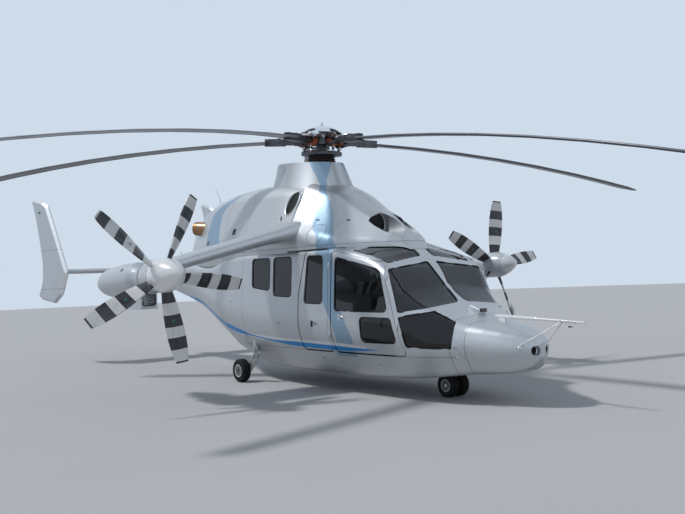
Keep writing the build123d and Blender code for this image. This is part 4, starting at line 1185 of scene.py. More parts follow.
# %% The knob on the cap, links, turning ring, scissors, bolts and boot
knob = [(0.0, 0.0), (0.05, 0.0), (0.05, 0.012), (0.022, 0.02), (0.018, 0.045), (0.024, 0.055), (0.018, 0.07),
        (0.0, 0.075)]
turned("cap_knob", knob, hub_point + rotor_axis * 0.240, rotor_axis, steel, 20, "main_rotor")
rod_end = [(0.0, -0.018), (0.020, -0.018), (0.025, -0.012), (0.025, 0.012), (0.020, 0.018), (0.0, 0.018)]
sleeve = [(0.0, 0.0), (0.019, 0.0), (0.021, 0.008), (0.021, 0.04), (0.017, 0.045), (0.0, 0.045)]
for azimuth in blade_azimuths:
    front = blade_ways(azimuth)[1]
    for height in (-0.085, -0.155):
        turned("link_end", rod_end, in_rotor(0.29, azimuth, height), front, steel, 14, "main_rotor")
    turned("link_sleeve", sleeve, in_rotor(0.29, azimuth, -0.145), rotor_axis, hub_metal, 14, "main_rotor")
ring = [(0.24, -0.224), (0.318, -0.224), (0.326, -0.216), (0.326, -0.172), (0.318, -0.165), (0.30, -0.160),
        (0.26, -0.160), (0.24, -0.172), (0.24, -0.224)]
turned("swash_ring", ring, hub_point, rotor_axis, hub_metal, 56, "main_rotor")
for azimuth in turns(2, first_azimuth + math.radians(36)):
    knee = in_rotor(0.30, azimuth, -0.115)
    tube("scissor_low", [in_rotor(0.27, azimuth, -0.165), knee], 0.013, hub_metal, 10, "main_rotor")
    tube("scissor_high", [knee, in_rotor(0.20, azimuth, -0.065)], 0.013, hub_metal, 10, "main_rotor")
    turned("scissor_pin", rod_end, knee, blade_ways(azimuth)[1], steel, 14, "main_rotor")
hub_bolt = [(0, 0), (0.016, 0), (0.016, 0.014), (0.009, 0.016), (0.009, 0.03), (0.0, 0.032)]
for azimuth in turns(10):
    turned("hub_bolt", hub_bolt, in_rotor(0.165, azimuth, 0.058), rotor_axis, steel, 6, "main_rotor")
# ribs of the rubber boot, which stands still
for rib in range(6):
    height = -0.392 + 0.028 * rib
    radius = 0.237 - 0.0068 * rib
    profile = [(radius - 0.004, height - 0.010), (radius + 0.010, height - 0.004), (radius + 0.012, height),
               (radius + 0.010, height + 0.004), (radius - 0.005, height + 0.010)]
    turned("boot_rib", profile, hub_point, rotor_axis, boot_rubber, 48)
print("links, ring, scissors and boot")


# %% [markdown]
# ## Propellers
# Small screws hold each spinner to its back plate, and each blade has a small green triangle. The nacelle
# behind has bands, a dark mark, a barred rim round its cooling scoop's mouth and a drain pipe.

# %% Spinner screws, blade marks and nacelle fittings
across = Vector((0, 1, 0))
screw = [(0, 0), (0.008, 0), (0.008, 0.002), (0.004, 0.0035), (0, 0.0035)]
back_plate = [(0.16, -0.336), (0.219, -0.336), (0.223, -0.331), (0.223, -0.318), (0.2185, -0.314)]
for side, word in sides_of_hull:
    joint = joints[f"propeller_{word}_turn"]
    axis = Vector(joint["axis"]).normalized()
    centre = Vector(joint["pos_m"])
    body = f"propeller_{word}"
    lift = axis.cross(across).normalized()
    for along, reach in ((-0.30, 0.2165), (-0.04, 0.2215)):
        for turn in turns(20):
            out = across * math.cos(turn) + lift * math.sin(turn)
            turned("spinner_screw", screw, centre + axis * along + out * reach, out, steel, 8, body)
    turned("spinner_lip", back_plate, centre, axis, spinner_paint[word], 56, body)
    for along, radius in ((-0.42, 0.1665), (-0.60, 0.1735)):
        band = [(radius - 0.003, along - 0.006), (radius + 0.0015, along - 0.004),
                (radius + 0.0015, along + 0.004), (radius - 0.003, along + 0.006)]
        turned("nacelle_band", band, centre, axis, skin_plain, 56)
    # a small dark mark on the nacelle's outer side
    place, normal = side_point(-0.174, 1.845, side)
    mark = [(0.028, 0), (0, 0.034), (-0.028, 0), (0, -0.034)]
    plate("nacelle_mark", mark, 0.003, plane_at(place + normal * 0.001, normal), seal_rubber)
    blade_tree = tree_of([f"prop_blades_{word}"])
    shape = bmesh.new()
    for turn in turns(blade_count, math.radians(prop_first_turn[word])):
        out = across * math.cos(turn) + lift * math.sin(turn)
        spot, normal = blade_tree.ray_cast(centre + out * 0.60 + axis * 0.8, -axis)[:2]
        if spot is not None:
            flat = plane_at(spot + normal * 0.001, normal, out)
            add_plate(shape, [(0.0, 0.026), (-0.024, -0.020), (0.024, -0.020)], 0.002, flat)
    new_piece("blade_marks", shape, mark_green, body, smooth=False)
    # the mouth of the small cooling scoop under the nacelle has a rim and bars
    mouth = at(0.262, side * 3.14, 1.433)
    rim = [mouth + Vector((0, a * 0.088, b * 0.078)) for a, b in
           ((-1, -0.8), (-0.8, -1), (0.8, -1), (1, -0.8), (1, 0.8), (0.8, 1), (-0.8, 1), (-1, 0.8))]
    tube("scoop_rim", rim, 0.009, dark_composite, 8, closed=True)
    for height in (-0.04, 0.0, 0.04):
        bar = [mouth + Vector((-0.02, y, height)) for y in (-0.084, 0.084)]
        tube("scoop_bar", bar, 0.004, steel, 8)
    drain = mouth + Vector((-0.55, 0, -0.08))
    pipe = [drain, drain + Vector((-0.01, 0, -0.035)), drain + Vector((-0.04, 0, -0.05))]
    tube("drain_pipe", pipe, 0.008, steel)
print("propeller and nacelle fittings")


# %% [markdown]
# ## Wheels and legs
# The tyres have four rain grooves round the tread and a raised bead. Brake discs, wheel bolts and hub caps
# sit in the rims. Each main leg is a shock strut over a trailing arm, with a hose clipped to it and a
# tie-down ring.

# %% Tyres, rims and brakes
def tyre_piece(name, centre, radius, width, rim_radius, body, node):
    half = width / 2
    side_wall = [(rim_radius, 0.80), (rim_radius + 0.004, 0.90), (rim_radius + 0.014, 0.93),
                 (0.70 * radius, 0.99), (0.82 * radius, 0.985), (0.91 * radius, 0.90), (0.965 * radius, 0.76),
                 (0.99 * radius, 0.60)]
    profile = [(r, -half * w) for r, w in side_wall]
    edge = 0.035
    for groove in (-0.45, -0.16, 0.16, 0.45):
        profile += [(share * radius, half * (groove + edge * step)) for share, step in
                    ((0.997, -1), (0.965, -0.7), (0.965, 0.7), (0.997, 1))]
    profile += [(r, half * w) for r, w in reversed(side_wall)]
    profile.append((rim_radius, -half * 0.80))
    shape = bmesh.new()
    add_turned(shape, profile, centre, across, 72)
    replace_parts(new_piece(name, shape, tyre_rubber, body), node)


def bolts_round(name, centre, axis, reach, count, body, size=0.008):
    first, second = side_axes(axis)
    bolt = [(0, -0.004), (size, -0.004), (size, 0.005), (0.55 * size, 0.007), (0.55 * size, 0.014),
            (0, 0.015)]
    shape = bmesh.new()
    for turn in turns(count):
        add_turned(shape, bolt, centre + reach * (math.cos(turn) * first + math.sin(turn) * second), axis, 6)
    new_piece(name, shape, steel, body)


main_radius, main_width = 0.186, 0.152
nose_radius, nose_width, nose_spread = 0.158, 0.118, 0.19
main_cap = [(0.028, 0.0), (0.040, 0.0), (0.043, 0.006), (0.043, 0.022), (0.036, 0.030), (0.0, 0.034)]
main_lip = [(0.088, 0.056), (0.0975, 0.056), (0.1015, 0.062), (0.1015, 0.068), (0.097, 0.071), (0.088, 0.068),
            (0.088, 0.056)]
brake_disc = [(0.035, -0.075), (0.083, -0.075), (0.083, -0.063), (0.035, -0.063), (0.035, -0.075)]
nose_cap = [(0.026, 0.0), (0.034, 0.0), (0.036, 0.005), (0.036, 0.016), (0.028, 0.023), (0.0, 0.026)]
nose_lip = [(0.072, 0.042), (0.080, 0.042), (0.0835, 0.047), (0.0835, 0.052), (0.080, 0.055), (0.072, 0.053),
            (0.072, 0.042)]
for side, word in sides_of_hull:
    centre = Vector(joints[f"main_wheel_{word}_roll"]["pos_m"])
    body = f"main_wheel_{word}"
    tyre_piece("main_tread", centre, main_radius, main_width, 0.0965, body, f"main_tyre_{word}")
    out = across * side
    turned("wheel_cap", main_cap, centre + out * 0.027, out, gear_paint, 32, body, "wheel_rim")
    bolts_round("rim_bolts", centre + out * 0.024, out, 0.056, 8, body)
    turned("rim_lip", main_lip, centre, out, white_paint, 56, body, "wheel_rim")
    turned("brake_disc", brake_disc, centre, out, steel, 40, body)

pair_centre = Vector(joints["nose_wheels_roll"]["pos_m"])
for side in (-1, 1):
    out = across * side
    centre = pair_centre + out * (nose_spread / 2)
    tyre_piece("nose_tread", centre, nose_radius, nose_width, 0.079, "nose_wheels", "nose_tyres")
    turned("nose_cap", nose_cap, centre + out * 0.019, out, gear_paint, 28, "nose_wheels", "wheel_rim")
    bolts_round("nose_bolts", centre + out * 0.018, out, 0.046, 6, "nose_wheels", 0.006)
    turned("nose_lip", nose_lip, centre, out, gear_paint, 48, "nose_wheels", "wheel_rim")
print("wheels done")


# %% Shock struts, hoses and rings
strut = [(0.0, 0.0), (0.050, 0.0), (0.054, 0.006), (0.054, 0.030), (0.041, 0.040), (0.041, 0.080),
         (0.047, 0.086), (0.047, 0.110), (0.040, 0.118), (0.040, 0.18), (0.0, 0.18)]
piston = [(0.0, 0.0), (0.018, 0.0), (0.018, 0.17), (0.032, 0.175), (0.032, 0.34), (0.0, 0.345)]
arm_pin = [(0.0, -0.046), (0.020, -0.046), (0.020, 0.046), (0.0, 0.046)]
hose_clip = [(0.005, -0.008), (0.011, -0.008), (0.011, 0.008), (0.005, 0.008)]
hose_line = ((0.030, 0.045, 0.16), (0.045, 0.058, 0.06), (-0.02, 0.060, -0.02), (-0.12, 0.050, -0.10),
             (-0.21, 0.048, -0.17))
bay_corners = [(-1.16, 0.60), (-0.62, 0.50), (-0.56, 0.60), (-0.66, 0.70), (-1.10, 0.76)]
for side in (-1, 1):
    leg = at(-0.85, side * 0.843, 0.40)
    turned("strut_collar", strut, leg + Vector((0, 0, 0.03)), UP, gear_paint, 32)
    low, high = at(-1.02, side * 0.855, 0.255), at(-0.80, side * 0.80, 0.50)
    turned("damper_rod", piston, low, high - low, polished, 24)
    for station, z in ((-0.85, 0.40), (-1.105, 0.186)):
        turned("arm_pin", arm_pin, at(station, side * 0.843, z), across, steel, 16)
    hose = [leg + Vector((x, side * y, z)) for x, y, z in hose_line]
    tube("brake_hose", hose, 0.006, seal_rubber, 8)
    for k in (1, 3):
        turned("hose_clip", hose_clip, hose[k], hose[k + 1] - hose[k], steel, 12)
    block("brake_caliper", at(-1.105, side * 0.880, 0.186 + 0.075), (0.075, 0.030, 0.045), hub_metal,
          "machinery", bevel=0.006)
    ring_centre = leg + Vector((0.065, 0, -0.01))
    ring = [ring_centre + Vector((0.022 * math.cos(t), 0, 0.022 * math.sin(t))) for t in turns(16)]
    tube("tie_ring", ring, 0.005, steel, 8, closed=True)
    bay = side_line(bay_corners, 0.05, side)
    if len(bay) > 8:
        seal("gear_bay_seal", bay, trim_grey, width=0.010, rise=0.003)

steer = at(2.72, 0, 0)
leg_collar = [(0.030, -0.020), (0.062, -0.020), (0.066, -0.014), (0.066, 0.014), (0.062, 0.020),
              (0.030, 0.020)]
fork_collar = [(0.026, -0.018), (0.040, -0.018), (0.043, -0.012), (0.043, 0.012), (0.040, 0.018),
               (0.026, 0.018)]
for collar, height, body in ((leg_collar, 0.445, "airframe"), (fork_collar, 0.30, "nose_steering")):
    turned("leg_collar", collar, steer + Vector((0, 0, height)), UP, steel, 32, body)
for side in (-1, 1):
    link = [steer + Vector((x, side * y, z)) for x, y, z in
            ((-0.026, 0.022, 0.37), (-0.085, 0.018, 0.29), (-0.040, 0.016, 0.215))]
    tube("steer_link", link, 0.008, gear_paint, 10, "nose_steering")
lamp_arm = [steer + Vector((0.050, 0, 0.475)), steer + Vector((0.085, 0, 0.46))]
tube("taxi_lamp_arm", lamp_arm, 0.010, gear_paint)
lamp = [(0.0, -0.03), (0.022, -0.028), (0.036, -0.008), (0.042, 0.012), (0.042, 0.018), (0.036, 0.018),
        (0.0, 0.012)]
lens = [(0.0, 0.0), (0.036, 0.0), (0.030, 0.007), (0.0, 0.011)]
turned("taxi_lamp", lamp, steer + Vector((0.105, 0, 0.46)), (1, 0, -0.15), steel, 28)
turned("taxi_lens", lens, steer + Vector((0.122, 0, 0.4575)), (1, 0, -0.15), lamp_glass, 28)
bush = [(0.0095, -0.006), (0.0175, -0.006), (0.0175, 0.0), (0.0095, 0.0)]
turned("tow_bush", bush, pair_centre - across * 0.140, across, steel, 20, "nose_steering")
print("legs done")


# %% [markdown]
# ## Nose, probes and lamps
# The long boom ahead of the nose measures speed in clean air, with a small vane near its tip. Two lamps look
# forward from the nose, short probes stand on its sides, and an intake box sits ahead of the windscreen.

# %% Nose fittings
bezel = [(0.052, 0.046), (0.0568, 0.046), (0.0568, 0.062), (0.052, 0.062), (0.048, 0.056), (0.052, 0.046)]
for side in (-1, 1):
    centre = at(4.085, side * 0.105, 0.68)
    turned("lamp_bezel", bezel, centre, (1, 0, 0), steel, 40)
    for height in (-0.022, 0.0, 0.022):
        width = math.sqrt(0.048 ** 2 - height ** 2)
        tube("lamp_bar", [centre + Vector((0.049, y, height)) for y in (-width, width)], 0.0012, steel, 6)
probe_low, probe_high = at(3.50, 0, 1.075), at(4.79, 0, 1.012)
probe_way = (probe_high - probe_low).normalized()
sleeve_shape = [(0.013, 0.0), (0.021, 0.0), (0.022, 0.01), (0.022, 0.60), (0.020, 0.615), (0.017, 0.63),
                (0.0165, 1.05), (0.013, 1.07)]
turned("probe_sleeve", sleeve_shape, probe_low, probe_way, white_paint, 24)
probe_collars = ((0.16, 0.017, 0.02), (0.62, 0.016, 0.012), (0.985, 0.019, 0.016), (1.16, 0.016, 0.01))
for along, radius, half in probe_collars:
    collar = [(0.013, -half), (radius, -half), (radius + 0.002, -half * 0.6), (radius + 0.002, half * 0.6),
              (radius, half), (0.013, half)]
    turned("probe_collar", collar, probe_low + probe_way * along, probe_way, steel, 20)
vane_root = probe_low + probe_way * 1.10
vane_outline = rounded_corners([(0.03, -0.003), (0.03, 0.003), (-0.03, 0.012), (-0.03, -0.012)], 0.003)
for way in (-across, -UP):
    tube("vane_arm", [vane_root + way * 0.012, vane_root + way * 0.06], 0.0035, steel, 8)
    flat = frame_of(probe_way, way, probe_way.cross(way).normalized(), vane_root + way * 0.060)
    plate("vane", vane_outline, 0.003, flat, dark_composite, bevel=0)
stay_foot = [(0, -0.004), (0.022, -0.004), (0.022, 0.004), (0.014, 0.008), (0.009, 0.016), (0, 0.016)]
pitot_foot = [(0, -0.003), (0.026, -0.003), (0.026, 0.003), (0.012, 0.006), (0, 0.006)]
for side in (-1, 1):
    foot, normal = skin_hit(at(4.06, side * 0.262, 2.0), -UP)
    if foot is not None:
        turned("stay_foot", stay_foot, foot, normal, steel, 18)
    for station, z in ((3.369, 0.732), (3.371, 0.621)):
        place, normal = side_point(station, z, side, hull_tree)
        bend = place + normal * 0.055
        line = [place - normal * 0.01, place + normal * 0.035, bend + Vector((0.012, 0, 0)),
                bend + Vector((0.12, 0, 0))]
        tube("pitot", line, 0, steel, 12, radii=[0.012, 0.011, 0.009, 0.006])
        turned("pitot_foot", pitot_foot, place, normal, steel, 20)
place, normal = skin_hit(at(3.22, -0.04, 3.0), -UP)
intake_box = four_sides(0.075, 0.060, -0.095, 0.095, 0.025)
box_place = plane_at(place + normal * 0.028, normal, (1, 0, 0))
plate("nose_intake", intake_box, 0.075, box_place, skin_plain, bevel=0.012)
# the open mouth of the intake box is a thin black plate: painted shade inside it
mouth = [(0.8 * p.x, 0.022 * (1 if p.y > 0 else -1)) for p in rounded_box(0.15, 2, 0.01)]
mouth_place = plane_at(place + normal * 0.032 + Vector((0.093, 0, -0.008)), (1, 0, 0.25))
plate("nose_intake_mouth", mouth, 0.006, mouth_place, seal_rubber, bevel=0)
print("nose done")


# %% [markdown]
# ## Aerials, lamps and covers on the hull
# A helicopter's skin carries many small things: aerials, position lamps, service caps, vents, handles and
# hinges. Each stands where the photograph shows it, or where such machines have it.

# %% Aerials and lamps
def blade_aerial(name, foot, normal, height, chord, lean=0.35, thick=0.010):
    back = Vector((-1, 0, 0))
    back = (back - normal * back.dot(normal)).normalized()
    sideways = normal.cross(back)
    tip = height * lean
    corners = [(0, 0), (chord, 0), (chord * 0.95 + tip, height), (chord * 0.35 + tip, height)]
    end = chord + 0.02
    base = rounded_corners([(-0.02, -0.02), (end, -0.02), (end, 0.02), (-0.02, 0.02)], 0.018)
    plate(name + "_foot", base, 0.008, frame_of(back, sideways, normal, foot), white_paint)
    upright = frame_of(back, normal, sideways, foot - normal * 0.004)
    plate(name, rounded_corners(corners, 0.018), thick, upright, white_paint, bevel=0.003)


for name, station, height, chord in (("top_aerial", -3.69, 0.20, 0.09), ("whip_foot", -3.28, 0.06, 0.05),
                                     ("boom_aerial", -5.0, 0.17, 0.10)):
    foot, normal = skin_hit(at(station, 0, 4.5), -UP)
    blade_aerial(name, foot, normal, height, chord)
foot, normal = skin_hit(at(-3.28, 0, 4.5), -UP)
whip = [foot + normal * 0.05, foot + normal * 0.26 + Vector((-0.04, 0, 0)),
        foot + normal * 0.42 + Vector((-0.12, 0, 0))]
tube("whip_aerial", whip, 0, seal_rubber, 6, radii=[0.0045, 0.003, 0.0018])
for station, y in ((0.9, 0.25), (-0.3, -0.25), (-2.6, 0.0), (2.0, 0.0)):
    foot, normal = skin_hit(at(station, y, 0.0), UP, hull_tree)
    if foot is not None and foot.z > 0.10:
        blade_aerial("belly_aerial", foot, normal, 0.09, 0.08)
lamp_profile = [(0, -0.004), (0.034, -0.004), (0.036, 0.004), (0.031, 0.014), (0.020, 0.027), (0, 0.033)]
for station, height, way in ((-4.4, 4.5, -UP), (0.3, 0.0, UP)):
    foot, normal = skin_hit(at(station, 0.0, height), way)
    turned("beacon", lamp_profile, foot, normal, red_lamp, 28)
for side, finish in ((-1, green_lamp), (1, red_lamp)):
    foot, normal = side_point(-7.6, 3.3, side)
    if foot is not None:
        turned("fin_lamp", [(r * 0.8, h) for r, h in lamp_profile], foot, normal, finish, 24)
tail_lamp = [(0, -0.01), (0.030, -0.01), (0.032, 0.004), (0.024, 0.018), (0, 0.026)]
turned("tail_lamp", tail_lamp, at(-7.63, 0, 2.01), (-1, 0, 0), lamp_glass, 24)
print("aerials and lamps")


# %% Covers, vents, handles and hinges
def outline_on(name, spot, normal, points, rise, material, thick, body="airframe", bevel=0.0015):
    plate(name, points, thick, plane_at(spot + normal * rise, normal), material, body, bevel=bevel)


def ring_points(radius, count=28, squash=1.0):
    return [Vector((radius * math.cos(t), radius * squash * math.sin(t), 0)) for t in turns(count)]


vents = (("square_vent", -1.44, 2.456, 0.115, 0.115), ("aft_vent", -2.512, 2.333, 0.085, 0.075),
         ("slot_vent", -0.034, 2.565, 0.045, 0.085))
service_caps = ((-1.45, 1.30, 0.055), (0.05, 0.98, 0.045), (1.0, 0.50, 0.04), (2.2, 0.47, 0.035))
lever_line = ((0.010, 0.030, 0.001), (0.006, 0.030, 0.013), (-0.040, 0.022, 0.017), (-0.110, 0.004, 0.016),
              (-0.122, 0.0, 0.008))
key_hole = [(0, 0), (0.009, 0), (0.009, 0.003), (0.004, 0.004), (0, 0.002)]
hinge = [(0, -0.045), (0.010, -0.045), (0.012, -0.041), (0.012, 0.041), (0.010, 0.045), (0, 0.045)]
static_port = [(0.004, -0.002), (0.016, -0.002), (0.016, 0.0015), (0.004, 0.0025), (0.004, -0.002)]
for side, word in sides_of_hull:
    # the round access cover over the door shows only as its seam
    place, normal = side_point(0.92, 2.275, side)
    flat = plane_at(place, normal)
    around = []
    for p in ring_points(0.175, 40):
        spot, up = skin_hit(flat @ p + normal * 0.2, -normal)
        around.append(spot + up * 0.0005)
    tube("cover_seam", around, 0.0022, seal_rubber, 6, closed=True)
    # square vent and its louvres on the cowling, a second one aft, and a slot behind the oval intake
    for name, station, z, width, height in vents:
        place, normal = side_point(station, z, side)
        outline = rounded_box(width, height, 0.014)
        # the black plate under the louvres is painted shade for the opening behind them
        outline_on(name, place, normal, outline, 0.0008, seal_rubber, 0.004)
        plane = plane_at(place + normal * 0.002, normal)
        tube(name + "_rim", [plane @ p for p in outline], 0.0035, steel, 8, closed=True)
        bars = max(2, round(height / 0.028))
        plane = plane_at(place + normal * 0.003, normal)
        tilt = plane_at((0, 0, 0), normal) @ Matrix.Rotation(math.radians(35), 4, "X")
        shape = bmesh.new()
        for k in range(bars):
            spot = plane @ Vector((0, height * ((k + 0.5) / bars - 0.5), 0))
            add_block(shape, spot, (width * 0.94, 0.014, 0.002), tilt)
        new_piece(name + "_louvres", shape, trim_grey)
    # teardrop lamp on the fairing, small oval drain ahead of it, service caps on the body
    place, normal = side_point(0.789, 2.478, side)
    drop = [(0.030 * math.cos(t) * (1.5 if math.cos(t) < 0 else 1), 0.018 * math.sin(t)) for t in turns(24)]
    outline_on("side_lamp", place, normal, drop, 0.004, lamp_glass, 0.014, bevel=0.005)
    place, normal = side_point(1.247, 2.443, side)
    outline_on("oval_drain", place, normal, ring_points(0.028, 20, 0.55), 0.0008, seal_rubber, 0.003)
    for station, z, radius in service_caps:
        place, normal = side_point(station, z, side, hull_tree)
        if place is not None:
            outline_on("service_cap", place, normal, ring_points(radius), 0.0008, skin_plain, 0.005)
            slot_line = rounded_box(radius, 0.008, 0.003)
            outline_on("cap_slot", place, normal, slot_line, 0.0035, seal_rubber, 0.002, bevel=0)
    # door handles: a black recess and lever on the middle door, a silver one on the crew door
    for body, station, z, cup, bar in ((f"mid_door_{word}", 0.925, 0.985, seal_rubber, dark_composite),
                                       (f"crew_door_{word}", 1.56, 1.085, skin_plain, steel)):
        place, normal = side_point(station, z, side, hull_tree)
        outline_on("handle_plate", place, normal, rounded_box(0.048, 0.090, 0.012), 0.0008, cup, 0.003, body)
        flat = plane_at(place, normal)
        lever = [flat @ Vector((way * side, up, out)) for way, up, out in lever_line]
        tube("handle_lever", lever, 0.006, bar, 10, body)
        turned("key_hole", key_hole, flat @ Vector((0.050, 0.0, 0.001)), normal, steel, 16, body)
    # hinges on the front edge of each door, on the fixed side of the gap
    for name, station, z in (("crew_hinge", 2.665, 0.98), ("crew_hinge", 2.47, 1.60),
                             ("mid_hinge", 1.325, 0.85), ("mid_hinge", 1.325, 1.80)):
        place, normal = side_point(station, z, side, hull_tree)
        if place is not None:
            turned(name, hinge, place + normal * 0.006, UP, steel, 14)
    for station, z in ((-2.05, 1.62), (-2.15, 1.62)):
        place, normal = side_point(station, z, side, hull_tree)
        turned("static_port", static_port, place, normal, steel, 20)
print("covers and handles")


# %% [markdown]
# ## Inside the cabin
# Two crew seats and a rear bench show through the glass, with the instrument panel and the pilots'
# controls. A seat cushion is a cover over foam: it crowns in the middle, bulges between its seams, and is
# drawn in along them. Each cushion here starts as a flat cover that is blown up in a cloth simulation and
# then smoothed.

# %% Padded covers
voxel = 0.008
swell_frames = 20
swell_pressure = 4.0
most_motion = 0.014
seam_depth, seam_reach = 0.013, 0.010
blown_meshes = {}


def cover_shape(size):
    # a flat closed cover with rounded edges, a little smaller than the cushion it becomes
    length, width, thick = size
    shape = bmesh.new()
    add_block(shape, (0, 0, 0), (length * 0.97, width * 0.97, thick * 0.72))
    bmesh.ops.bevel(shape, geom=shape.edges[:], offset=thick * 0.30, segments=4, affect="EDGES", profile=0.5)
    return shape


def baked(obj):
    # the object's shape with its modifiers, which are then taken off
    mesh = bpy.data.meshes.new_from_object(obj.evaluated_get(bpy.context.evaluated_depsgraph_get()))
    obj.modifiers.clear()
    return mesh


def blow_up(size, puffs):
    # remesh, swell under pressure, cap the motion, then draw in the seams across the top
    key = (size, puffs)
    if key in blown_meshes:
        return blown_meshes[key]
    scene = bpy.context.scene
    shape = cover_shape(size)
    mesh = bpy.data.meshes.new("cover")
    shape.to_mesh(mesh)
    shape.free()
    cover = bpy.data.objects.new("cover", mesh)
    scene.collection.objects.link(cover)
    remesh = cover.modifiers.new("remesh", "REMESH")
    remesh.mode = "VOXEL"
    remesh.voxel_size = voxel
    even = baked(cover)
    cover.data = even
    start = [v.co.copy() for v in even.vertices]
    cloth = cover.modifiers.new("cloth", "CLOTH")
    cloth.settings.use_pressure = True
    cloth.settings.uniform_pressure_force = swell_pressure
    cloth.settings.effector_weights.gravity = 0.0
    cloth.settings.quality = 4
    cloth.point_cache.frame_end = swell_frames
    for step in range(1, swell_frames + 1):
        scene.frame_set(step)
    ends = [v.co.copy() for v in baked(cover).vertices]
    scene.frame_set(1)
    done = even.copy()
    for vertex, before, after in zip(done.vertices, start, ends):
        motion = after - before
        if motion.length > most_motion:
            motion *= most_motion / motion.length
        spot = before + motion
        for seam_at in range(1, puffs):
            away = abs(spot.x - (seam_at / puffs - 0.5) * size[0])
            if spot.z > 0:
                fade = min(1.0, spot.z / (0.2 * size[2]))
                spot.z -= seam_depth * math.exp(-(away / seam_reach) ** 2) * fade
        vertex.co = spot
    bpy.data.objects.remove(cover)
    blown_meshes[key] = done
    return done


def seat_cover(name, centre, size, turn, puffs=3):
    shape = bmesh.new()
    shape.from_mesh(blow_up(size, puffs))
    bmesh.ops.transform(shape, matrix=Matrix.Translation(centre) @ turn, verts=shape.verts)
    obj = new_piece(name, shape, seat_cloth)
    soften = obj.modifiers.new("soften", "SUBSURF")
    soften.levels = soften.render_levels = 1


print("cushions swell by at most", most_motion, "m")


# %% Seats
floor_z = 0.56
seat_y = 0.42


def cabin(station, y, up):
    return at(station, y, floor_z + up)


lie = Matrix.Rotation(math.radians(-4), 4, "Y")
lean = Matrix.Rotation(math.radians(-98), 4, "Y")
strap_line = ((1.530, 0.085, 0.92), (1.648, 0.080, 0.86), (1.654, 0.062, 0.62), (1.700, 0.03, 0.43))
buckle = [(0, -0.004), (0.030, -0.004), (0.032, 0.004), (0.026, 0.010), (0, 0.010)]
for side in (-1, 1):
    spot_y = side * seat_y
    seat_cover("seat_cushion", cabin(1.775, spot_y, 0.345), (0.44, 0.43, 0.09), lie)
    seat_cover("seat_back", cabin(1.588, spot_y, 0.66), (0.56, 0.42, 0.075), lean, 4)
    seat_cover("head_rest", cabin(1.520, spot_y, 1.02), (0.17, 0.25, 0.08), lean, 1)
    for k in (-1, 1):
        post_y = spot_y + k * 0.06
        tube("rest_post", [cabin(1.505, post_y, 0.88), cabin(1.510, post_y, 0.97)], 0.007, steel)
        shape = bmesh.new()
        rows = [[shape.verts.new(cabin(station, spot_y + k * y + w, up)) for w in (-0.022, 0.022)]
                for station, y, up in strap_line]
        for low, high in zip(rows, rows[1:]):
            shape.faces.new((low[0], low[1], high[1], high[0]))
        obj = new_piece("harness", shape, dark_composite, slot="seat_cloth")
        thick = obj.modifiers.new("thickness", "SOLIDIFY")
        thick.thickness = 0.003
        thick.offset = 1
    turned("buckle", buckle, cabin(1.712, spot_y, 0.420), (0.3, 0, 1), steel, 24)
for spot_y in (-0.385, 0.0, 0.385):
    seat_cover("bench_cushion", cabin(-1.095, spot_y, 0.455), (0.44, 0.375, 0.09), lie)
    seat_cover("bench_back", cabin(-1.205, spot_y, 0.64), (0.36, 0.375, 0.08), lean, 3)
padded_names = ("seat_cushion", "seat_back", "head_rest", "bench_cushion", "bench_back")
print("padded pieces", sum(piece_names[name] for name in padded_names))


# %% Controls, screens and floor mat
pedal_turn = Matrix.Rotation(math.radians(-28), 4, "Y")
for side in (-1, 1):
    spot_y = side * seat_y
    stick = [cabin(station, spot_y, up) for station, up in
             ((2.12, 0.002), (2.10, 0.20), (2.03, 0.38), (2.045, 0.50), (2.050, 0.58))]
    tube("cyclic", stick, 0, panel_plastic, 12, radii=[0.022, 0.013, 0.012, 0.019, 0.016])
    lever = [cabin(station, spot_y - 0.265, up) for station, up in
             ((1.62, 0.14), (1.80, 0.26), (1.93, 0.34), (1.98, 0.37))]
    tube("collective", lever, 0, panel_plastic, 12, radii=[0.013, 0.013, 0.020, 0.018])
    for k in (-1, 1):
        spot = cabin(2.395, spot_y + k * 0.10, 0.115)
        block("pedal", spot, (0.014, 0.085, 0.13), steel, turn=pedal_turn)
        arm = [spot + Vector((0.004, 0, -0.05)), spot + Vector((0.028, 0, -0.113))]
        tube("pedal_arm", arm, 0.008, panel_plastic, 8)
screen_paint, net, shader, place = new_finish("screen_glass", Coat_Weight=1.0, Coat_Roughness=0.03)
glow = net.ramp(net.noise(place, 18.0, 2.0), 0.45, 0.6)
colour = net.mix(glow, (0.008, 0.010, 0.014), (0.020, 0.035, 0.05))
net.surface(shader, colour, net.add(net.times(glow, 0.05), 0.10))
screens = ((-0.42, 0.45, 0.20, 0.16), (-0.17, 0.45, 0.20, 0.16), (0.17, 0.45, 0.20, 0.16),
           (0.42, 0.45, 0.20, 0.16), (0.0, 0.44, 0.09, 0.15))
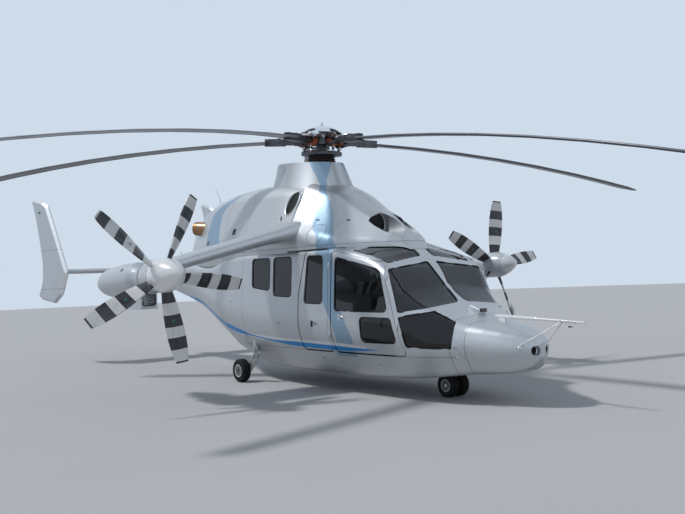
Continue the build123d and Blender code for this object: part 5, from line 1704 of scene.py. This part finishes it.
screen_edge = 0.024
for y, z, width, height in screens:
    back = plane_at(cabin(2.418, y, z), (-1, 0, 0))
    frame_line = rounded_box(width + screen_edge, height + screen_edge, 0.012)
    plate("screen_frame", frame_line, 0.012, back, trim_grey, slot="panel_plastic")
    glass_place = back @ Matrix.Translation((0, 0, 0.0075))
    plate("screen", rounded_box(width, height, 0.008), 0.004, glass_place, screen_paint, bevel=0)
visor = four_sides(0.60, 0.54, -0.05, 0.10, 0.04)
plate("panel_visor", visor, 0.022, plane_at(cabin(2.45, 0, 0.632), (-0.12, 0, 1), (-1, 0, 0)), panel_plastic,
      bevel=0.008)
knob = [(0, -0.003), (0.010, -0.003), (0.010, 0.006), (0.007, 0.010), (0, 0.010)]
shape = bmesh.new()
for row in range(5):
    for column in range(4):
        add_turned(shape, knob, cabin(2.05 + 0.075 * row, -0.066 + 0.044 * column, 0.334), UP, 10)
new_piece("console_knobs", shape, trim_grey, slot="panel_plastic")
mat = [(-1.45, -0.56), (0.9, -0.62), (2.30, -0.62), (2.30, 0.62), (0.9, 0.62), (-1.45, 0.56)]
mat_place = Matrix.Translation(cabin(0, 0, 0.0035))
plate("floor_mat", rounded_corners(mat, 0.06), 0.006, mat_place, trim_grey, bevel=0.002)
print("controls done")


# %% [markdown]
# ## Floor and finish
# The picture's ground is left out, so a pale floor stands in for it under the world's pale colour.

# %% Stage
stage_paint, net, shader, place = new_finish("stage", Specular_IOR_Level=0.1)
tone = net.noise(place, 0.4, 2.0)
colour = net.mix(tone, (0.50, 0.505, 0.51), (0.53, 0.535, 0.54))
net.surface(shader, colour, net.add(net.times(tone, 0.05), 0.85))
floor_mesh = bpy.data.meshes.new("floor")
shape = bmesh.new()
bmesh.ops.create_circle(shape, cap_ends=True, segments=96, radius=60.0)
shape.to_mesh(floor_mesh)
shape.free()
floor = bpy.data.objects.new("floor", floor_mesh)
floor.location = (0, 0, -0.002)
floor_mesh.materials.append(stage_paint)
bpy.context.scene.collection.objects.link(floor)
